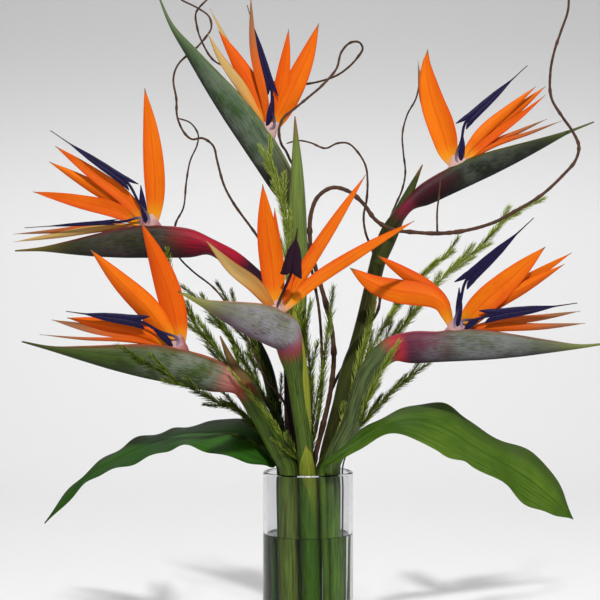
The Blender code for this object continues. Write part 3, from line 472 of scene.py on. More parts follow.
# %% [markdown]
# ## Bract and stalk
# The bract grows out of its stalk in one piece.  Two forms joined at the neck would show a
# seam, so both are one skin.  On the stalk the ring is a circle.  On the bract it is a drop
# with a keel below and a slit along the top, between two thin raised lips.  The slit and the
# lips are added to the radius as bell curves, which fade in at the neck and out at the tip.
# %% Bract shape
BRACT = (                       # along / length; top, keel and half width / depth
    (-0.44, -0.54, -0.96, 0.22), (-0.30, -0.30, -1.00, 0.25), (-0.14, -0.20, -1.00, 0.27),
    (-0.07, -0.18, -1.00, 0.27), (0.00, -0.18, -1.00, 0.27), (0.07, -0.18, -1.00, 0.27),
    (0.20, -0.24, -1.00, 0.26), (0.40, -0.40, -0.97, 0.22), (0.60, -0.57, -0.91, 0.16),
    (0.80, -0.72, -0.84, 0.09))
BRACT_SIDES = 56
BRACT_TIP = 0.7
SHEATH_SIDES = 40


def bract_rows(plant):
    """Stations of the bract: middle point, half depth, half width, place along it."""
    part, top, keel, half = np.array(BRACT[plant.get("neckless", 0):]).T
    # a shoulder lifts the top of the neck, most where the stalk joins it
    top = top + plant.get("shoulder", 0.0) * np.clip((-0.14 - part) / 0.3, 0, 1)
    points = [part * plant["length"], 0 * part, (top + keel) / 2 * plant["depth"]]
    rows = [placed(plant, np.stack(points, axis=1)), (top - keel) / 2 * plant["depth"],
            half * plant["depth"], part]
    end = placed(plant, (plant["length"], 0, plant["tip"]))
    return np.vstack([np.column_stack(rows), [*end, BRACT_TIP, BRACT_TIP, 1.0]])


def stalk_rows(plant, neck):
    """Stations of the stalk, with the place along counted back from the neck."""
    points = np.array(standing(plant["stalk"]), float)
    gaps = distances(np.vstack([points[:, :3], neck[:3]]))
    back = neck[5] - (gaps[-1] - gaps[:-1]) / plant["length"]
    return np.column_stack([points, points[:, 3], back])


def bract_skin(plant):
    """Ring radius: a circle on the stalk, a keeled drop with slit and lips on the bract."""
    bract = bract_rows(plant)
    rows = smooth(np.vstack([stalk_rows(plant, bract[0]), bract]), 9)
    rows[:, 3:5] = np.maximum(rows[:, 3:5], BRACT_TIP * 0.8)
    wide, deep = square_to(rows, axes(plant)[1])
    turn = circle(BRACT_SIDES)
    off_top = np.minimum(turn, 2 * math.pi - turn)
    along = rows[:, 5:6]
    bracted = ease(along, bract[0, 5] - 0.06, bract[0, 5] + 0.18)
    slit = ease(along, -0.16, -0.02) * (1 - ease(along, 0.80, 0.97))
    across = np.sin(turn) * (1 - bracted * (0.16 - 0.16 * np.cos(turn)))
    down = np.cos(turn) - bracted * 0.05 * bell(off_top, math.pi, 0.35)
    down = down + slit * (0.06 * bell(off_top, 0.34, 0.13) - 0.14 * bell(off_top, 0, 0.2))
    # `deep` points up on the vase's right and down on its left; `side` turns it to the slit
    grid = rings(rows, down * rows[:, 3:4] * plant["side"], deep, across * rows[:, 4:5], wide)
    return skin(grid, along=along, around=off_top / math.pi, sheath=0.0)


def sheath_skin(plant, points):
    """A pointed leaf base that wraps the stalk: a round spear, a little flat in front."""
    rows = smooth(points, 12)
    turn = circle(SHEATH_SIDES)
    along = np.linspace(0, 1, len(rows))[:, None]
    flat = 1 - 0.10 * ease(along, 0.2, 0.6) * np.cos(2 * turn) ** 2
    grid = tube(rows, np.maximum(rows[:, 3:4], 0.5) * flat, SHEATH_SIDES, axes(plant)[1])
    return skin(grid, along=along, around=np.minimum(turn, 2 * math.pi - turn) / math.pi,
                sheath=1.0)


# %% [markdown]
# ## Finish of bracts and stalks
# A bract is green with a grey waxy bloom, blushed crimson or plum at the neck and edged with
# a red line along the slit, and every flower has its own balance of these.  It could be
# painted by hand six times, but one function makes all six finishes from a table of what
# differs.  Fine streaks run along the stem, so their noise is stretched by the place along
# and around it.
# %% Bract finish
BRACT_LOOKS = {                 # one column for each flower
    "body": ((48, 52, 22), (62, 88, 46), (122, 124, 102), (66, 86, 30), (30, 38, 18),
        (94, 100, 78)),
    "dark": ((18, 16, 12), (14, 20, 14), (88, 66, 74), (36, 50, 14), (7, 8, 7), (50, 44, 48)),
    "crown": ((92, 40, 38), (112, 126, 84), (134, 134, 90), (122, 74, 46), (76, 88, 34),
        (120, 108, 80)),
    "bloom": ((96, 86, 88), (120, 130, 116), (156, 156, 164), (128, 134, 120), (94, 98, 88),
        (130, 132, 134)),
    "blush": ((164, 12, 42), (74, 66, 44), (164, 92, 104), (196, 122, 112), (66, 14, 26),
        (104, 38, 60)),
    "deep": ((78, 16, 36), (26, 32, 24), (116, 62, 84), (150, 84, 76), (22, 8, 12), (54, 28, 46)),
    "end": ((44, 14, 34), (50, 54, 34), (146, 44, 54), (140, 60, 44), (112, 24, 46),
        (194, 44, 56)),
    "lip": ((132, 36, 46), (120, 126, 84), (204, 110, 92), (190, 84, 60), (112, 44, 34),
        (160, 76, 84)),
    "tip": ((108, 96, 36), (96, 114, 76), (150, 152, 74), (62, 70, 22), (84, 98, 46),
        (122, 132, 66)),
    "stalk": ((44, 30, 36), (40, 58, 20), (84, 108, 34), (74, 100, 26), (56, 58, 18),
        (92, 108, 62)),
    "sheath": ((90, 105, 60), (118, 138, 66), (148, 154, 48), (110, 84, 44), (62, 70, 24),
        (90, 100, 48)),
    # painted shade: the colour each stalk shows inside the vase, as shade and glass make it look
    "vase_shade": ((74, 78, 46), (34, 48, 14), (62, 104, 4), (104, 122, 48), (66, 66, 30), (96, 132, 48)),
    "bloom_share": (0.4, 0.55, 0.85, 0.8, 0.5, 0.7),
    "bloom_from": (-0.3, -0.3, -0.3, -0.42, -0.15, -0.34),
    "bloom_to": (0.75, 0.75, 0.66, 0.4, 0.75, 0.75),
    "blush_from": (-0.05, -0.02, -0.09, -0.22, 0.02, 0.04),
    "blush_to": (-0.36, -0.34, -0.21, -0.38, -0.22, -0.22),
    "end_from": (0.62, 0.36, 0.17, 0.36, 0.34, 0.3),
    "stalk_from": (0.78, 0.46, 0.22, 0.46, 0.46, 0.37),
}


def bract_finish(name, body, dark, crown, bloom, blush, deep, end, lip, tip, stalk, sheath,
                 vase_shade, bloom_share, bloom_from, bloom_to, blush_from, blush_to, end_from,
                 stalk_from):
    f = Finish(name, Specular_IOR_Level=0.14)
    along, around, is_sheath = f.read("along", "around", "sheath")
    place = f.place()
    streak = f.noise(f.vector(along * 3.2, around * 20.0, 0.3), 1.7, 5.0, 0.68)
    fine = f.noise(f.vector(along * 16.0, around * 70.0, 0.9), 1.0, 2.0, 0.5)
    cloud = f.noise(place, 40.0, 4.0, 0.62)
    speck = f.noise(place, 230.0, 2.0, 0.5)

    on_side = f.step(around, 0.10, 0.32) * f.step(around, 0.98, 0.72)
    on_length = (f.step(along, bloom_from, bloom_from + 0.2)
                 * f.step(along, bloom_to, bloom_to - 0.45))
    bloomed = on_side * on_length * f.step(cloud * 0.55 + fine * 0.45, 0.40, 0.60)
    neck = f.step(along + cloud * 0.16 + streak * 0.22 - 0.19, blush_from, blush_to)
    red = f.layers(blush, (deep, f.step(streak * 0.7 + around * 0.5, 0.45, 0.80)),
                   (end, f.step(0 - along + cloud * 0.1 - 0.05, end_from, end_from + 0.12)))
    edge = (f.step(around, 0.17, 0.09) * f.step(along, -0.5, -0.3)
            * f.step(along, 1.0, 0.7))
    stem = f.layers(stalk, (np.array(stalk) * 0.45, f.step(streak, 0.38, 0.66)))
    leafy = f.layers(sheath, (np.array(sheath) * 0.6, f.step(streak, 0.4, 0.75)),
                     ((134, 92, 58), f.step(along, 0.84, 1.0)))
    # painted shade on the stalks inside the vase, with darker streaks
    vase_shaded = f.layers(vase_shade, (np.array(vase_shade) * 0.4, f.step(streak, 0.36, 0.66)))
    colour = f.layers(
        body,
        (dark, f.step(around + cloud * 0.3, 0.60, 1.05)),
        (crown, f.step(around + streak * 0.12, 0.40, 0.14)),
        (dark, f.step(streak, 0.44, 0.64) * 0.8),
        (deep, f.step(speck * 0.5 + cloud * 0.5, 0.60, 0.68) * on_length * 0.6),
        (tip, f.step(along + streak * 0.2, 0.60, 1.05)),
        ((96, 66, 44), f.step(along, 0.965, 1.0)),
        (red, neck),
        (bloom, bloomed * bloom_share * (1 - neck * 0.4)),
        (lip, edge * 0.9),
        (stem, f.step(0 - along + streak * 0.1 - 0.05, stalk_from, stalk_from + 0.14)),
        (leafy, is_sheath),
        # painted shade: below the vase's mouth the stalks take their in-vase colour
        (vase_shaded, f.step(f.height(), 0.28, 0.17)))
    f.bump(streak * 0.6 + fine * 0.4, 0.0006, 0.6)
    return f.done(colour, 0.5 + bloomed * 0.2)


# %% Make the bracts and stalks
for (name, plant), look in zip(FLOWERS.items(), zip(*BRACT_LOOKS.values())):
    skins = [bract_skin(plant)] + [sheath_skin(plant, s) for s in plant.get("sheaths", ())]
    put("bract_" + name, skins, bract_finish("bract_" + name, **dict(zip(BRACT_LOOKS, look))),
        "stalk_" + name)

# %% [markdown]
# ## Sepals
# The orange blades are lance-shaped and folded softly along the middle, with thin edges that
# ripple a little.  Flat cards would look like paper, so each is a closed blade with two
# faces.  The outline is a power of t times a power of (1 - t), and the two powers set where
# the widest place is.  The cross-section runs along the front face and returns on the back.
# %% Sepal shape
SEPAL_ROWS = 38
SEPAL_COLUMNS = 13
SEPAL_THICK = 1.3
SEPAL_ARCHES = (0.42, 0.34, -0.3)      # depth of the fold; below 0 it opens backwards
SEPAL_TWIST = 0.16              # most turn between root and tip, in radians


def outline(t, peak):
    """u^a (1 - u)^b, 1 at u = peak: a + b = 0.7 + 2.5 * peak and a = (a + b) * peak."""
    u = 0.03 + 0.97 * t
    both = 0.7 + 2.5 * peak
    first, last = both * peak, both * (1 - peak)
    return (u / peak) ** first * (np.maximum(1 - u, 0) / (1 - peak)) ** last


def blade_skin(plant, tone, arch, width, points, look=0, peak=0.4):
    """Spine + side * c * half + back * (fold + ripple +- thickness), c from -1 to 1."""
    spine = smooth(points, 14)
    t = np.linspace(0, 1, SEPAL_ROWS)
    spine = rows_at(spine, t * distances(spine)[-1])
    half = np.maximum(width / 2 * outline(t, peak), 0.25)[:, None]
    ahead = tangents(spine)
    side = unit(np.cross(facing(plant), ahead))
    back = np.cross(side, ahead)
    twist = (rng.uniform(-SEPAL_TWIST, SEPAL_TWIST) * t)[:, None]
    side, back = (np.cos(twist) * side + np.sin(twist) * back,
                  np.cos(twist) * back - np.sin(twist) * side)
    column = -np.cos(np.linspace(0, math.pi, SEPAL_COLUMNS))
    c = np.concatenate([column, column[-2:0:-1]])[None]
    face = np.repeat([[-1.0, 1.0]], [SEPAL_COLUMNS, SEPAL_COLUMNS - 2], axis=1)
    fold = arch * (np.sqrt(c**2 + 0.03) - 0.17)
    ripple = 0.10 * np.sin(2 * math.pi * (1.4 * t[:, None] + rng.random())) * c**2
    thick = (np.sqrt(1 - c**2) * 0.85 + 0.15) * np.minimum(1, (1 - t) * 8 + 0.25)[:, None]
    away = half * (fold + ripple) + face * thick * SEPAL_THICK / 2
    return skin(placed(plant, rings(spine, half * c, side, away, back)),
                along=t[:, None], across=c, tone=tone, look=float(look))


def throat_skin(plant):
    """A short pale swelling in the slit that the blades grow from."""
    low = -0.24 * plant["depth"]
    rows = ((12.0, 4.0, low), (11.5, 4.2, low + 2.0), (9.0, 3.8, -4), (6.4, 3.2, -1),
            (4.4, 2.6, 2), (2.4, 1.6, 4.5), (0.8, 0.6, 6))
    return skin(placed(plant, level_rings(rows, 32)), along=0.0, across=np.cos(circle(32)),
                tone=0.5, look=3.0)


# %% Sepal finish
def sepal_finish():
    """Orange with fine lengthwise veins, yellow at the root and brown at the tip; `look`
    is 1 for a withered blade, 2 for a pale one that shows its back, 3 for the throat."""
    f = Finish("sepal", Specular_IOR_Level=0.1)
    along, across, tone, look = f.read("along", "across", "tone", "look")
    veins = f.noise(f.vector(along * 1.2, across * 7.0, tone * 30.0), 2.4, 4.0, 0.65)
    cloud = f.noise(f.place(), 34.0, 3.0)
    off_rib = across * across
    edge = f.step(off_rib, 0.45, 1.0)
    dried = f.layers((220, 96, 12), ((150, 112, 76), f.step(along + veins * 0.5, 0.62, 1.15)),
                     ((186, 50, 22), f.step(veins, 0.48, 0.66) * 0.6))
    pale = f.layers((232, 150, 58), ((204, 172, 104), f.step(along + veins * 0.4, 0.2, 0.8)),
                    ((180, 84, 44), edge * 0.7),
                    ((178, 112, 52), f.step(veins, 0.46, 0.62) * 0.5))
    throat = f.layers((206, 168, 160), ((160, 84, 92), f.step(cloud, 0.42, 0.66)))
    colour = f.layers(
        (226, 86, 0),
        ((238, 120, 4), f.step(veins + tone * 0.35 + cloud * 0.25, 0.52, 0.98)),
        ((208, 58, 0), f.step(veins * 0.5 + cloud * 0.6, 0.56, 0.80) * 0.7),
        ((216, 60, 0), edge * 0.5),
        # painted shade: one side of every blade, from the rib to its edge, turns darker red-orange
        ((208, 66, 0), f.step(across, -0.1, 0.9) * 0.5),
        ((206, 62, 2), f.step(off_rib, 0.015, 0.0) * 0.4),
        ((240, 158, 26), f.step(along + veins * 0.08, 0.26, 0.08)),
        ((222, 160, 120), f.step(along, 0.10, 0.02)),
        ((126, 96, 60), f.step(along + veins * 0.05, 0.955, 1.02)),
        (dried, f.step(look, 0.4, 0.6)),
        (pale, f.step(look, 1.4, 1.6)),
        (throat, f.step(look, 2.4, 2.6)))
    f.bump(veins, 0.0007, 0.6)
    return f.done(colour, 0.46 + veins * 0.2)


sepal_orange = sepal_finish()
for name, plant in FLOWERS.items():
    skins = [throat_skin(plant)]
    for row in plant["sepals"]:
        skins.append(blade_skin(plant, rng.random(), rng.choice(SEPAL_ARCHES), *row))
    put("petals_" + name, skins, sepal_orange, "sepals_" + name)

# %% [markdown]
# ## Blue tongues
# Two of the petals are joined into a blue arrow that holds the stamens: a thin neck, two
# barbs that point back, and a long fine tip.  The third petal is a small dark scale at the
# foot.  A sheet cut to the arrow's outline would look flat, so the arrow is two long lobes
# side by side, which leaves a groove between them.
# %% Tongue shape
LOBE_SIDES = 14
ARROW = np.array([(-0.1, 1.15), (0, 1.0), (0.1, 0.92), (0.3, 0.84), (0.5, 0.62), (0.64, 0.34),
                  (0.74, 0.13), (1, 0.05)])     # place along the arrow, share of its width


def lobe_skin(plant, centre, half, flat, part):
    """An oval tube along `centre`; half is its half width, flat its thickness share."""
    ahead = tangents(centre)
    side = unit(np.cross(facing(plant), ahead))
    half = half[:, None]
    turn = circle(LOBE_SIDES)
    grid = rings(centre, half * np.cos(turn), side, half * flat * np.sin(turn),
                 np.cross(ahead, side))
    return skin(placed(plant, grid), along=part[:, None], across=np.cos(turn),
                plum=plant.get("plum", 0.0))


def tongue_skins(plant, width, root, barbs, tip, scale=None):
    """Neck, two lobes that start as barbs and meet in a long thin tip, and the scale."""
    root, barbs, tip = np.array([root, barbs, tip], float)
    low = np.array([root[0], root[1] - 2.5, -0.22 * plant["depth"]])
    neck = smooth([low, root + (0, 0, 4), (root + barbs) / 2 + (0, 0, 1), barbs,
                   barbs + (tip - barbs) * 0.3], 10)
    t = np.linspace(0, 1, len(neck))
    skins = [lobe_skin(plant, neck, 1.2 + 0.3 * t, 0.8, t * 0.3)]
    arrow = tip - barbs
    out = unit(np.cross(facing(plant), unit(arrow)))
    t = np.concatenate([np.linspace(-0.10, 0.1, 12)[:-1], np.linspace(0.1, 1, 24)])
    whole = width / 2 * np.interp(t, *ARROW.T)
    apart = np.interp(t, (-0.1, 0.0, 0.08, 0.2), (0.92, 0.70, 0.50, 0.44))
    half = whole * np.interp(t, (-0.1, -0.04, 0.04, 0.12), (0.06, 0.26, 0.50, 0.56))
    sag = np.sin(math.pi * np.clip(t, 0, 1))[:, None] * facing(plant)
    for hand, reach in ((-1, 1.0), (1, 0.55)):
        centre = (barbs + np.where(t < 0, t * reach, t)[:, None] * arrow
                  + hand * (whole * apart)[:, None] * out + sag)
        skins.append(lobe_skin(plant, centre, np.maximum(half, 0.3), 0.6,
                               0.3 + 0.7 * np.clip(t, 0, 1)))
    if scale:
        foot = np.array([root[0] + 2, root[1] - 2, -0.2 * plant["depth"]])
        petal = smooth([foot, (foot + scale) / 2 + (1, 0.5, 2), scale], 9)
        t = np.linspace(0, 1, len(petal))
        wide = 0.4 + 3.0 * np.sin(math.pi * np.clip(t * 0.85 + 0.12, 0, 1)) ** 1.5
        skins.append(lobe_skin(plant, petal, wide, 0.45, 0.3 + 0.3 * t))
    return skins


# %% Tongue finish
def tongue_finish():
    """Dark indigo with violet grain and a painted highlight down one side of each lobe; pale at
    the neck, brown at the tip.
    """
    f = Finish("tongue_blue", Specular_IOR_Level=0.12)
    along, across, plum = f.read("along", "across", "plum")
    grain = f.noise(f.vector(along * 9.0, across * 2.0, 0.5), 3.0, 3.0)
    colour = f.layers((20, 11, 34), ((34, 28, 92), f.step(grain, 0.42, 0.70)),
                      # painted highlight: a lavender-grey band down one side of each lobe
                      ((112, 108, 140), f.step(across, 0.80, 0.98) * 0.4),
                      ((170, 150, 178), f.step(along, 0.14, 0.0)),
                      ((46, 12, 30), plum * 0.85), ((64, 44, 42), f.step(along, 0.78, 0.90)))
    f.bump(grain, 0.0004, 0.5)
    return f.done(colour, 0.42 + grain * 0.2)


tongue_blue = tongue_finish()
for name, plant in FLOWERS.items():
    for number, row in enumerate(plant["tongues"]):
        which = name + (f"_{number + 1}" if len(plant["tongues"]) > 1 else "")
        put("arrow_" + which, tongue_skins(plant, *row), tongue_blue, "tongue_" + which)

# %% [markdown]
# ## Strap leaves
# Each big leaf is one sheet with a sunken midrib and fine veins that run along it.  Sculpting
# it would be slow to change, so three smooth lines, the near edge, the midrib and the far
# edge, give its place, and a parabola joins them at every step.  The veins are shallow
# ripples of the surface, so they catch the light from every side.
# %% Leaf shape
LEAVES = {
    "left": dict(foot=(-24, -2), mouth=(-29, -4), blade=(
        ((-33, -11, 235), (-32, -5, 239), (-31, 0, 242)),
        ((-46, -24, 238), (-46, -7, 254), (-46, 7, 267)),
        ((-67, -30, 244), (-68, -5, 267), (-69, 17, 282)),
        ((-96, -32, 252), (-98, -3, 268), (-99, 23, 277)),
        ((-121, -32, 258), (-124, 0, 267), (-126, 26, 272)),
        ((-142, -30, 252), (-145, 1, 261), (-147, 26, 267)),
        ((-167, -27, 242), (-170, 1, 252), (-173, 23, 261)),
        ((-190, -22, 234), (-193, 1, 241), (-195, 19, 248)),
        ((-213, -15, 225), (-216, 0, 228), (-218, 12, 232)),
        ((-234, -8, 205), (-237, 0, 207), (-241, 7, 210)),
        ((-263, -3, 178), (-263, -2, 178), (-263, -1, 179)))),
    "right": dict(foot=(19, -27), mouth=(14, -30), blade=(
        ((24, -43, 241), (25, -40, 247), (26, -36, 251)),
        ((40, -47, 250), (41, -40, 258), (42, -32, 265)),
        ((65, -48, 266), (66, -33, 274), (67, -16, 282)),
        ((93, -46, 271), (95, -21, 282), (96, 3, 292)),
        ((122, -42, 255), (125, -11, 278), (127, 15, 298)),
        ((143, -38, 246), (146, -8, 268), (149, 17, 291)),
        ((160, -34, 239), (163, -6, 257), (166, 17, 276)),
        ((191, -28, 221), (194, -4, 239), (197, 15, 259)),
        ((217, -20, 198), (222, -2, 221), (227, 11, 247)),
        ((240, -10, 189), (244, -1, 203), (250, 6, 220)),
        ((265, -1, 182), (265, 0, 182), (265, 1, 183)))),
}
ROLLED = ((-20, 22, 5.5), (-22, 22, 5.5), (-31, 21, 274, 6.0), (-35, 20, 300, 6.5),
          (-40, 18, 325, 6.8), (-47, 16, 345, 6.5), (-56, 14, 366, 4.0), (-64, 12, 384, 0.8))
LEAF_COLUMNS = 41
LEAF_HALF_THICK = 0.45
PETIOLE = 3.2


def leaf_skins(foot, mouth, blade):
    """Parabola through near, middle and far lines, a groove and vein ripples, two faces."""
    rows = np.array(blade, float)
    near, middle, far = (smooth(rows[:, column], 12)[:, None] for column in range(3))
    c = np.linspace(-1, 1, LEAF_COLUMNS)[None]
    sheet = (middle + (far - near) / 2 * c[..., None]
             + ((far + near) / 2 - middle) * c[..., None] ** 2)
    normal = unit(np.cross(np.gradient(sheet, axis=0), np.gradient(sheet, axis=1)))
    normal = normal * np.sign(normal[..., 2:].mean())
    t = np.linspace(0, 1, len(sheet))[:, None]
    groove = -0.7 * bell(c, 0, 0.06)
    veins = 0.07 * np.sin(44 * c)
    wave = 1.5 * np.sin(13 * t * math.pi + 2 * c) * np.abs(c) ** 3
    fade = np.minimum(1, np.linalg.norm(far - near, axis=-1) / 24)
    sheet = sheet + ((groove + veins + wave) * fade)[..., None] * normal
    edge = np.maximum(1 - c**2, 0) ** 0.25 * LEAF_HALF_THICK + 0.05
    faces = [sheet + edge[..., None] * normal, (sheet - edge[..., None] * normal)[:, ::-1]]
    skins = [skin(np.concatenate(faces, axis=1), along=t,
                  across=np.concatenate([c, c[:, ::-1]], axis=1),
                  under=np.repeat([[0.0, 1.0]], LEAF_COLUMNS, axis=1))]
    route = smooth(standing([foot, mouth, rows[0, 1], *(rows[1:4, 1] - (0, 0, 0.8))]), 8)
    radius = np.interp(np.linspace(0, 1, len(route)), (0, 0.6, 1), (PETIOLE, PETIOLE, 0.8))
    return skins + [skin(tube(route, radius[:, None], 20), along=0.0, across=0.5, under=0.0)]


def rolled_skin():
    """A leaf still rolled up: a spear with a spiral edge that stands a little proud."""
    rows = smooth(standing(ROLLED), 10)
    t = np.linspace(0, 1, len(rows))[:, None]
    seam = (circle(40) - 1.2 - 2.2 * t) % (2 * math.pi) / (2 * math.pi)
    radius = np.maximum(rows[:, 3:4], 0.5) * (0.9 + 0.12 * seam)
    return skin(tube(rows, radius, 40), along=t, across=seam * 2 - 1, under=0.0)


# %% Leaf finish
def leaf_finish(name, dark, light, far, back):
    """Deep green, fine veins along the leaf, a painted grey highlight on the far half, a soft
    midrib.
    """
    f = Finish("leaf_" + name, Specular_IOR_Level=0.14)
    along, across, under = f.read("along", "across", "under")
    off_rib = f.node("Math", dict(operation="ABSOLUTE"), {0: across})
    veins = f.noise(f.vector(across * 14.0, along * 1.6, 0.4), 2.6, 4.0, 0.7)
    cloud = f.noise(f.place(), 16.0, 3.0)
    colour = f.layers(dark, (light, f.step(veins * 0.8 + cloud * 0.6, 0.50, 0.90)),
                      # painted highlight: the far half turns greyer, as the light's sheen on it
                      (far, f.step(across + cloud * 0.5 - 0.25, 0.30, 0.85) * 0.75),
                      (dark, f.step(off_rib, 0.04, 0.008) * 0.6), (back, under * 0.8))
    f.bump(veins, 0.0008, 0.8)
    return f.done(colour, 0.42 + veins * 0.25)


# colours: dark, light, the painted highlight of the far half, and the underside
for name, *colours in (("left", (14, 52, 0), (48, 100, 4), (66, 74, 50), (24, 84, 0)),
                       ("right", (36, 72, 0), (92, 122, 30), (56, 74, 26), (60, 110, 4)),
                       ("rolled", (16, 28, 6), (34, 50, 14), (28, 42, 12), (30, 44, 12))):
    skins = leaf_skins(**LEAVES[name]) if name in LEAVES else [rolled_skin()]
    put("strap_" + name if name in LEAVES else name, skins, leaf_finish(name, *colours),
        "leaf_" + name)

# %% [markdown]
# ## Curly willow
# Willow twigs are thin, brown and never straight.  A curve object with a round bevel would
# be even all along, so each twig is a tube whose radius swells at the buds, which are bell
# curves at random places.  No two twigs have the same outline.
# %% Willow routes
WILLOW = {                      # for each branch: its two radii and its points
    "top": ((1.8, 0.9, ((-2, 8), (-2, 9), (8, 10, 270), (14, 13, 315), (14, 14, 352),
        (11, 18, 393), (6, 22, 421), (0, 27, 452), (-7, 33, 498), (-12, 30, 532), (-18, 24, 543),
        (-22, 14, 551), (-27, 2, 558), (-29, -3, 570), (-25, -2, 582), (-12, 4, 594), (0, 12, 605),
        (14, 20, 618), (29, 24, 636), (34, 26, 653), (43, 28, 663), (52, 30, 664), (56, 32, 658),
        (50, 34, 648), (40, 36, 638), (27, 38, 630), (-2, 42, 623), (-29, 44, 624), (-60, 45, 633),
        (-80, 45.4, 640), (-97, 45.4, 648), (-109, 45.4, 667), (-114, 45.4, 682), (-115, 45, 697),
        (-104, 44, 710), (-95, 43, 719))),),
    "left": ((1.8, 0.9, ((-8, 33), (-10, 34), (-9, 35, 268), (-12, 37, 329), (-20, 38, 391),
        (-33, 38, 432), (-51, 37, 465), (-76, 37, 500), (-86, 38, 519), (-93, 38, 544),
        (-97, 38, 559), (-108, 39, 567), (-119, 39, 566), (-127, 40, 573), (-134, 40, 589),
        (-135, 40, 608), (-138, 40, 628), (-133, 40, 643), (-114, 39, 660), (-105, 38, 670),
        (-99, 38, 680), (-101, 37, 691), (-111, 36, 699), (-129, 35, 708), (-136, 35, 713))),),
    "far_left": ((1.3, 0.8, ((-12, -3), (-13, -3), (-19, -3, 269), (-25, -3, 301), (-40, -2, 319),
        (-50, -1, 339), (-63, 2, 366), (-79, 8, 393), (-95, 18, 413), (-118, 27, 431),
        (-132, 31, 446), (-136, 32, 464), (-135, 32, 479), (-127, 30, 495), (-124, 30, 521),
        (-120, 30, 543), (-113, 30, 559), (-112, 31, 570), (-120, 33, 582), (-133, 34, 587))),),
    "right": ((3, 1.2, ((5, 10), (6, 11), (14, 11, 270), (22, 11, 305), (26, 8, 341), (24, 8, 371),
        (17, 6, 401), (6, 1, 439), (2, -4, 461), (3, -6, 487), (10, -6, 504), (24, -4, 513),
        (40, 0, 510), (55, 2, 498), (68, 3, 481), (84, 4, 472), (107, 6, 469), (133, 8, 468),
        (159, 10, 471), (187, 12, 479), (208, 14, 490), (236, 16, 507), (260, 20, 529),
        (272, 24, 543), (276, 28, 558), (270, 30, 573), (260, 32, 588), (249, 34, 608),
        (248, 34, 633), (252, 34, 655), (259, 34, 676), (266, 34, 697), (267, 34, 716))), (1.7,
        0.8, ((22, 11, 306), (25, 22, 312), (30, 31, 322), (39, 36, 337), (47, 37, 351),
        (59, 35, 370), (71, 34, 389), (74, 34, 405), (72, 34, 432), (66, 34, 452), (59, 33, 470),
        (57, 32, 487), (60, 32, 503), (61, 32, 522), (59, 32, 538), (51, 32, 552), (41, 32, 561),
        (30, 32, 561), (18, 32, 556), (2, 33, 562), (-10, 34, 564), (-22, 34, 561))), (1.1, 0.7,
        ((130, 8, 468), (130, 9, 490), (132, 10, 507), (134, 11, 528)))),
    "upper_right": ((1.5, 0.8, ((14, 28), (17, 31), (19, 35, 256), (31, 40, 293), (45, 44, 350),
        (62, 43, 411), (75, 41, 458), (89, 40, 496), (97, 39, 515), (100, 38, 532), (98, 38, 552),
        (97, 38, 571), (102, 38, 591), (111, 37, 608), (116, 36, 637))),),
}


# %% Willow shape and finish
TWIG_SIDES = 12
BUD_EVERY = 26                  # stem length for each bud
BUD_SWELL = 0.34
BUD_WIDTH = 2.2


def twig_skin(thick, thin, points):
    """Radius: a straight taper * (1 + a bell at each bud + small waves)."""
    route = smooth(standing(points) if len(points[0]) == 2 else points, 10)
    along = distances(route)
    taper = np.interp(along, (0, along[-1]), (thick, thin))
    buds = np.sort(rng.uniform(20, along[-1], int(along[-1] / BUD_EVERY)))
    swell = bell(along[:, None], buds[None], BUD_WIDTH).sum(axis=1)
    waves = 0.05 * np.sin(along * 0.9) + 0.04 * np.sin(along * 0.37 + 1)
    radius = taper * (1 + BUD_SWELL * np.minimum(swell, 1) + waves)
    radius[-3:] *= 0.9, 0.7, 0.45
    return skin(tube(route, radius[:, None], TWIG_SIDES), around=np.cos(circle(TWIG_SIDES)),
                length=along[:, None])


def willow_finish():
    """Brown bark with tan streaks and a reddish cast."""
    f = Finish("bark", Specular_IOR_Level=0.2)
    around, length = f.read("around", "length")
    streak = f.noise(f.vector(length * 0.05, around * 2.5, 0.0), 3.0, 4.0, 0.7)
    cloud = f.noise(f.place(), 60.0, 3.0)
    colour = f.layers((44, 26, 20), ((112, 78, 56), f.step(streak + cloud * 0.4, 0.5, 0.95)),
                      ((84, 40, 28), f.step(cloud, 0.5, 0.75) * 0.6))
    f.bump(streak, 0.0008, 0.8)
    return f.done(colour, 0.5 + streak * 0.2)


bark = willow_finish()
for name, branches in WILLOW.items():
    put("twig_" + name, [twig_skin(*branch) for branch in branches], bark, "willow_" + name)

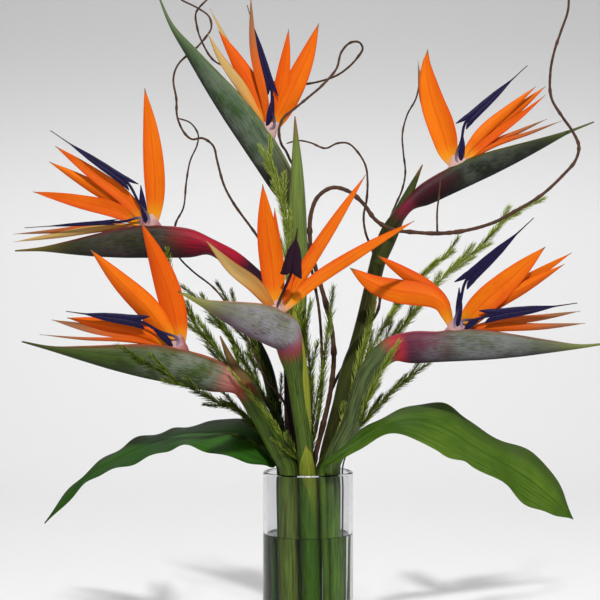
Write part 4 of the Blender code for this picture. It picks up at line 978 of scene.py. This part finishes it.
# %% [markdown]
# ## Asparagus fern
# Each spray is a thin stem with hundreds of soft needles that lean forward.  They could be
# hairs, but hairs don't travel with a model, so a needle is a three-sided spike with one
# bend, and all needles of a stem are one array: root, bend and tip are worked out from the
# place along the stem and a turn that grows by the golden angle, which spreads them evenly.
# %% Fern routes
FERNS = {                       # radius, bare stretch, needle length, freshness, points
    # and in some sprays the points of a branch that leaves the stem
    "right_long": (1.4, 15, 16, 0.9, ((9, 1), (10, 2), (27, 2, 256), (44, 3, 286), (64, 4, 326),
        (93, 10, 371), (128, 18, 414), (147, 22, 433), (177, 26, 457), (206, 28, 487),
        (240, 30, 504))),
    "right_second": (1.4, 15, 16, 0.8, ((28, 6), (32, 7), (35, 7, 260), (49, 8, 300), (62, 9, 346),
        (88, 14, 391), (115, 18, 426), (141, 20, 448), (152, 20, 464)), ((35, 7, 260),
        (39, 2, 278), (44, -6, 300), (52, -8, 340), (60, -8, 372), (66, -8, 402))),
    "right_low": (1.3, 10, 14, 0.5, ((33, -3), (35, -2), (46, -2, 264), (62, -3, 288),
        (80, -5, 306), (99, -8, 323), (123, -8, 340)), ((46, -2, 264), (50, -14, 274),
        (54, -28, 288), (58, -38, 304), (70, -44, 330), (87, -46, 360))),
    "left_long": (1.4, 10, 16, 0.25, ((-9, -8), (-10, -8), (-30, -8, 262), (-50, -6, 288),
        (-65, -8, 313), (-85, -12, 343), (-108, -16, 371), (-127, -20, 405), (-141, -20, 436),
        (-150, -20, 453))),
    "left_second": (1.4, 10, 16, 0.1, ((-5, -4), (-6, -4), (-24, -8, 266), (-40, -8, 299),
        (-56, -6, 326), (-68, -4, 349), (-80, -3, 366), (-93, -2, 383), (-108, -2, 400),
        (-125, -2, 414))),
    "left_back": (1.2, 30, 14, 0.1, ((-11, 19), (-12, 18), (-24, 15, 272), (-34, 8, 310),
        (-50, 5, 341), (-68, 13, 376), (-82, 20, 401), (-92, 24, 418))),
    "left_low": (1.3, 5, 14, 0.1, ((-5, -14), (-7, -13), (-32, -11, 254), (-46, -12, 270),
        (-65, -20, 290), (-89, -40, 302), (-112, -60, 316), (-141, -66, 333), (-161, -70, 345),
        (-180, -74, 357))),
    "centre": (1.3, 15, 16, 0.35, ((4, -7), (4, -7), (5, -8, 262), (3, -10, 302), (1, -10, 341),
        (-2, -10, 371), (3, -10, 399)), ((5, -8, 262), (12, -6, 300), (16, -4, 340), (21, -4, 380),
        (25, -4, 412))),
    "top": (1.4, 100, 16, 0.8, ((1, -13), (0, -12), (-8, -10, 302), (-14, -8, 371), (-19, -8, 421),
        (-21, -8, 461), (-23, -8, 491), (-29, -8, 513), (-37, -8, 539), (-38, -8, 562))),
    "mouth": (1, 4, 10, 0.6, ((-3, -20), (-5, -20), (-14, -31, 252), (-21, -44, 272)),
        ((-14, -31, 252), (-20, -42, 262), (-32, -50, 280), (-46, -53, 299), (-62, -54, 317),
        (-76, -54, 334))),
}
NEEDLES_PER_MM = 2.3
NEEDLE_HALF = 0.3
NEEDLE_LEAN = (12, 32)          # degrees off the stem
SHOOT_EVERY = 17.0              # stem length for each side shoot
SHOOT_REACH = (24, 44)
GOLDEN = math.pi * (3 - math.sqrt(5))


# %% Fern shape
def needles(root, bend, tip, tone):
    """Many three-sided spikes at once: a ring at the root, one at the bend, and a tip."""
    ahead = unit(tip - root)
    wide = unit(np.cross(ahead, np.array([0.3, 0.2, 0.93])))
    turn = circle(3)
    ring = rings(0 * root, NEEDLE_HALF * np.cos(turn), wide, NEEDLE_HALF * np.sin(turn),
                 np.cross(ahead, wide))
    points = np.concatenate([root[:, None] + ring, bend[:, None] + ring * 0.9,
                             tip[:, None]], axis=1)
    quads = np.array([(0, 1, 4, 3), (1, 2, 5, 4), (2, 0, 3, 5)])
    triangles = np.array([(2, 1, 0), (3, 4, 6), (4, 5, 6), (5, 3, 6)])
    shift = np.arange(len(root))[:, None, None] * 7
    return dict(points=points.reshape(-1, 3), quads=(quads + shift).reshape(-1, 4),
                triangles=(triangles + shift).reshape(-1, 3),
                values=dict(tone=np.repeat(tone, 7),
                            out=np.tile((0, 0, 0, 0.5, 0.5, 0.5, 1.0), len(root))))


def needled(route, start, length, thick, thin, fresh):
    """A stem from `route`, and from `start` on needles that lean forward off it."""
    along = distances(route)
    end = along[-1]
    radius = np.interp(along, (0, end), (thick, thin))[:, None]
    front = (0.15, -1.0, 0.0)
    stem = skin(tube(route, radius, 8, front), out=0.0, tone=0.2)
    count = int((end - start) * NEEDLES_PER_MM)
    place = (np.arange(count) + rng.random(count)) / count
    at = rows_at(np.hstack([route, tangents(route), square_to(route, front)[0]]),
                 start + (end - start) * place)
    middle, ahead, side = at[:, :3], unit(at[:, 3:6]), unit(at[:, 6:])
    spin = (GOLDEN * np.arange(count) + rng.normal(0, 0.3, count))[:, None]
    lean = np.radians(rng.uniform(*NEEDLE_LEAN, count))[:, None]
    size = length * (0.45 + 0.55 * np.sin(math.pi * np.clip(place * 0.8 + 0.16, 0, 1)))
    size = (size * rng.uniform(0.7, 1.1, count))[:, None]
    radial = np.cos(spin) * side + np.sin(spin) * np.cross(ahead, side)
    way = ahead * np.cos(lean) + radial * np.sin(lean)
    return [stem, needles(middle, middle + way * size * 0.55 + radial * size * 0.03,
                          middle + way * size + ahead * size * 0.06,
                          rng.uniform(-0.4, 0.4, count) + fresh)]


def fern_skins(radius, bare, length, fresh, points, branch=None):
    """The main stem with its needles, straight side shoots with shorter ones, and in some
    sprays one more branch."""
    route = smooth(standing(points), 10)
    along = distances(route)
    start = np.interp(MOUTH + bare, route[:, 2], along)
    skins = needled(route, start, length, radius, 0.45, fresh)
    count = int((along[-1] - start - 20) / SHOOT_EVERY)
    for number in range(count):
        at = np.searchsorted(along, start + 4 + (number + rng.random() * 0.6) * SHOOT_EVERY)
        ahead = tangents(route)[at]
        spin = GOLDEN * number + rng.normal(0, 0.4)
        side = unit(np.cross(ahead, np.array([0.0, 1.0, 0.2])))
        radial = math.cos(spin) * side + math.sin(spin) * np.cross(ahead, side) * 0.4
        reach = rng.uniform(*SHOOT_REACH) * (1.15 - number / (count + 1) * 0.6)
        steps = np.linspace(0, 1, 9)[:, None]
        shoot = (route[at] + unit(ahead + radial * 0.34) * reach * steps
                 + ahead * reach * 0.12 * steps**2)
        skins += needled(shoot, 2.0, length * 0.72, radius * 0.6, 0.4, fresh + 0.1)
    if branch:
        skins += needled(smooth(branch, 10), 16.0, length, radius * 0.8, 0.4, fresh + 0.2)
    return skins


# %% Fern finish
def fern_finish():
    """Fresh yellow-green needles among dark ones, and dark towards the mouth of the vase."""
    f = Finish("fern", Specular_IOR_Level=0.12)
    out, tone = f.read("out", "tone")
    young = tone + f.step(f.height(), 0.25, 0.38) * 0.3
    colour = f.layers((30, 44, 12), ((142, 164, 44), f.step(young, 0.0, 1.2)),
                      ((184, 194, 104), out * f.step(young, 0.5, 1.4)))
    return f.done(colour, 0.55)


fern_green = fern_finish()
for name, row in FERNS.items():
    put("spray_" + name, fern_skins(*row), fern_green, "fern_" + name)

# %% [markdown]
# ## Vase and water
# The vase is a turned form with a thick bottom and a rounded rim.  A single sheet would bend
# no light, so it is a closed wall that bends it at both faces, as real glass does.  The water
# reaches a hair into the wall, because a film of air between them would shine like a mirror.
# Light that only passes through to the stems goes straight, so they don't stand in the dark.
# %% Vase shape
INNER = VASE_RADIUS - VASE_WALL
OVERLAP = 0.25                  # how far the water reaches into the glass
VASE_SIDES = 128


def corner(x, z, radius, start, end):
    """Points of a rounded corner about (x, z), by degrees."""
    turn = np.radians(np.linspace(start, end, 9))
    return [(x + radius * math.cos(a), z + radius * math.sin(a)) for a in turn]


def turned(profile, spacing=9.0, edge=0.25):
    """(radius, height) turned round Z, with rings close to both ends of straight runs, so
    that the shading stays flat along them."""
    points = np.array(profile, float)
    parts = []
    for start, end in zip(points[:-1], points[1:]):
        length = np.linalg.norm(end - start)
        steps = [0.0]
        if length > 4 * edge:
            count = max(2, int(length / spacing))
            steps = np.append(0.0, np.linspace(edge, length - edge, count) / length)
        parts.append(start + np.array(steps)[:, None] * (end - start))
    rows = np.concatenate(parts + [points[-1:]])
    return skin(level_rings(rows[:, [0, 0, 1]], VASE_SIDES))


glass_profile = (
    [(0.02, VASE_FLOOR), (INNER * 0.6, VASE_FLOOR)]
    + corner(INNER - 2.5, VASE_FLOOR + 2.5, 2.5, -90, 0)
    + [(INNER, VASE_HEIGHT * 0.5), (INNER, VASE_HEIGHT - 2)]
    + corner(INNER + VASE_WALL / 2, VASE_HEIGHT - VASE_WALL / 2, VASE_WALL / 2, 180, 0)
    + [(VASE_RADIUS, VASE_HEIGHT * 0.5)]
    + corner(VASE_RADIUS - 1.5, 1.5, 1.5, 0, -90)
    + [(VASE_RADIUS * 0.6, 0.0), (0.02, 0.0)])
# the water creeps up the wall by 1.8 mm, which dies out within a few millimetres
water_profile = (
    [(0.02, VASE_FLOOR - 0.2), (INNER * 0.6, VASE_FLOOR - 0.2)]
    + corner(INNER - 2.25, VASE_FLOOR + 2.3, 2.5, -90, 0)
    + [(INNER + OVERLAP, WATER_LEVEL * 0.6)]
    + [(INNER + OVERLAP - d, WATER_LEVEL + 1.8 * math.exp(-d / 1.7))
       for d in np.linspace(0, 6, 10)]
    + [(INNER * 0.5, WATER_LEVEL), (0.02, WATER_LEVEL)])


# %% Clear finishes
def clear_finish(name, tint, index, mirror):
    """Glass to the eye; light on its way to a shadow passes straight through."""
    tint = paint(tint, 1.0)
    f = Finish(name, Base_Color=tint, IOR=index, Roughness=0.0, Transmission_Weight=1.0,
               Specular_Tint=(mirror, mirror, mirror, 1.0))
    shadow = f.node("LightPath", {}, {}, 1)
    through = f.node("BsdfTransparent", {}, {"Color": tint})
    glass = Value(f, f.shader.outputs["BSDF"])
    mixed = f.node("MixShader", {}, {0: shadow, 1: glass, 2: through})
    f.plug(f.tree.nodes["Material Output"].inputs["Surface"], mixed)
    return f.material


put("glass_vase", [turned(glass_profile)],
    clear_finish("clear_glass", (236, 236, 238), 1.4, 0.2), "vase")
put("water_body", [turned(water_profile)],
    clear_finish("clear_water", (240, 246, 232), 1.33, 0.05), "water")

# %% [markdown]
# ## Studio
# The bouquet stands on a pale floor that curves up into a pale wall, with painted shade that greys
# it towards the top.
# A floor and a wall that meet in a corner would show a line, so both are one sweep.  A small
# lamp in front and above throws clear shadows back over the floor, and large soft lamps at
# the side, overhead and behind fill the rest.
# %% Floor
def sweep():
    """Floor, quarter circle and wall: a profile along Y, stretched along X."""
    bend, far = 0.9, 1.6
    turn = np.linspace(0, math.pi / 2, 16)[1:]
    y = np.concatenate([np.linspace(-3.0, far, 24), far + bend * np.sin(turn),
                        np.full(12, far + bend)])
    z = np.concatenate([np.zeros(24), bend * (1 - np.cos(turn)),
                        bend + np.linspace(0.1, 2.4, 12)])
    grid = np.stack(np.broadcast_arrays(np.linspace(-4, 4, 17)[None], y[:, None], z[:, None]),
                    axis=-1)
    rows, columns = grid.shape[:2]
    at = (np.arange(rows - 1)[:, None] * columns + np.arange(columns - 1)[None]).ravel()
    faces = np.stack([at, at + 1, at + columns + 1, at + columns], axis=1)
    mesh = bpy.data.meshes.new("studio_floor")
    mesh.from_pydata(grid.reshape(-1, 3).tolist(), [], faces.tolist())
    mesh.shade_smooth()
    return added("studio_floor", mesh)


floor = sweep()
f = Finish("studio_paper", lamps=1.0)
# painted shade: the paper greys with height up the wall
paper = f.layers((240, 240, 240), ((196, 196, 196), f.step(f.height(), 0.55, 1.25)))
floor.data.materials.append(f.done(paper, 0.9))
print("floor:", len(floor.data.polygons), "faces")


# %% Lamps and camera
def lamp(name, place, target, size, power):
    """A square area lamp aimed at a point."""
    light = bpy.data.lights.new(name, "AREA")
    light.size, light.energy = size, power
    made = added(name, light)
    made.location = place
    x, y, z = np.subtract(target, place).tolist()
    made.rotation_euler = (math.atan2(math.hypot(x, y), -z), 0.0, math.atan2(-x, y))


lamp("key", (0.0, -2.1, 2.6), (0, 0, 0.42), 0.12, 96)
lamp("side", (2.4, -0.6, 1.2), (0, 0, 0.4), 1.2, 10)
lamp("overhead", (0, 1.5, 3.0), (0, 1.9, 0.2), 2.5, 18)
lamp("behind", (-0.5, 2.2, 2.4), (0, 0, 0.45), 1.0, 8)
world = bpy.data.worlds.new("studio_air")
world.use_nodes = True
air = world.node_tree.nodes["Background"].inputs
air["Color"].default_value = (1, 1, 1, 1)
air["Strength"].default_value = 0.26
bpy.context.scene.world = world

camera = bpy.data.cameras.new("camera")
camera.lens, camera.sensor_width = 90, 36
viewer = added("camera", camera)
viewer.location = (-0.008, -1.5, 0.401)
viewer.rotation_euler = (math.pi / 2, 0, 0)     # level, along Y
bpy.context.scene.camera = viewer
bpy.context.scene.view_settings.view_transform = "Standard"
print("lamps:", [light.name for light in bpy.data.lights])
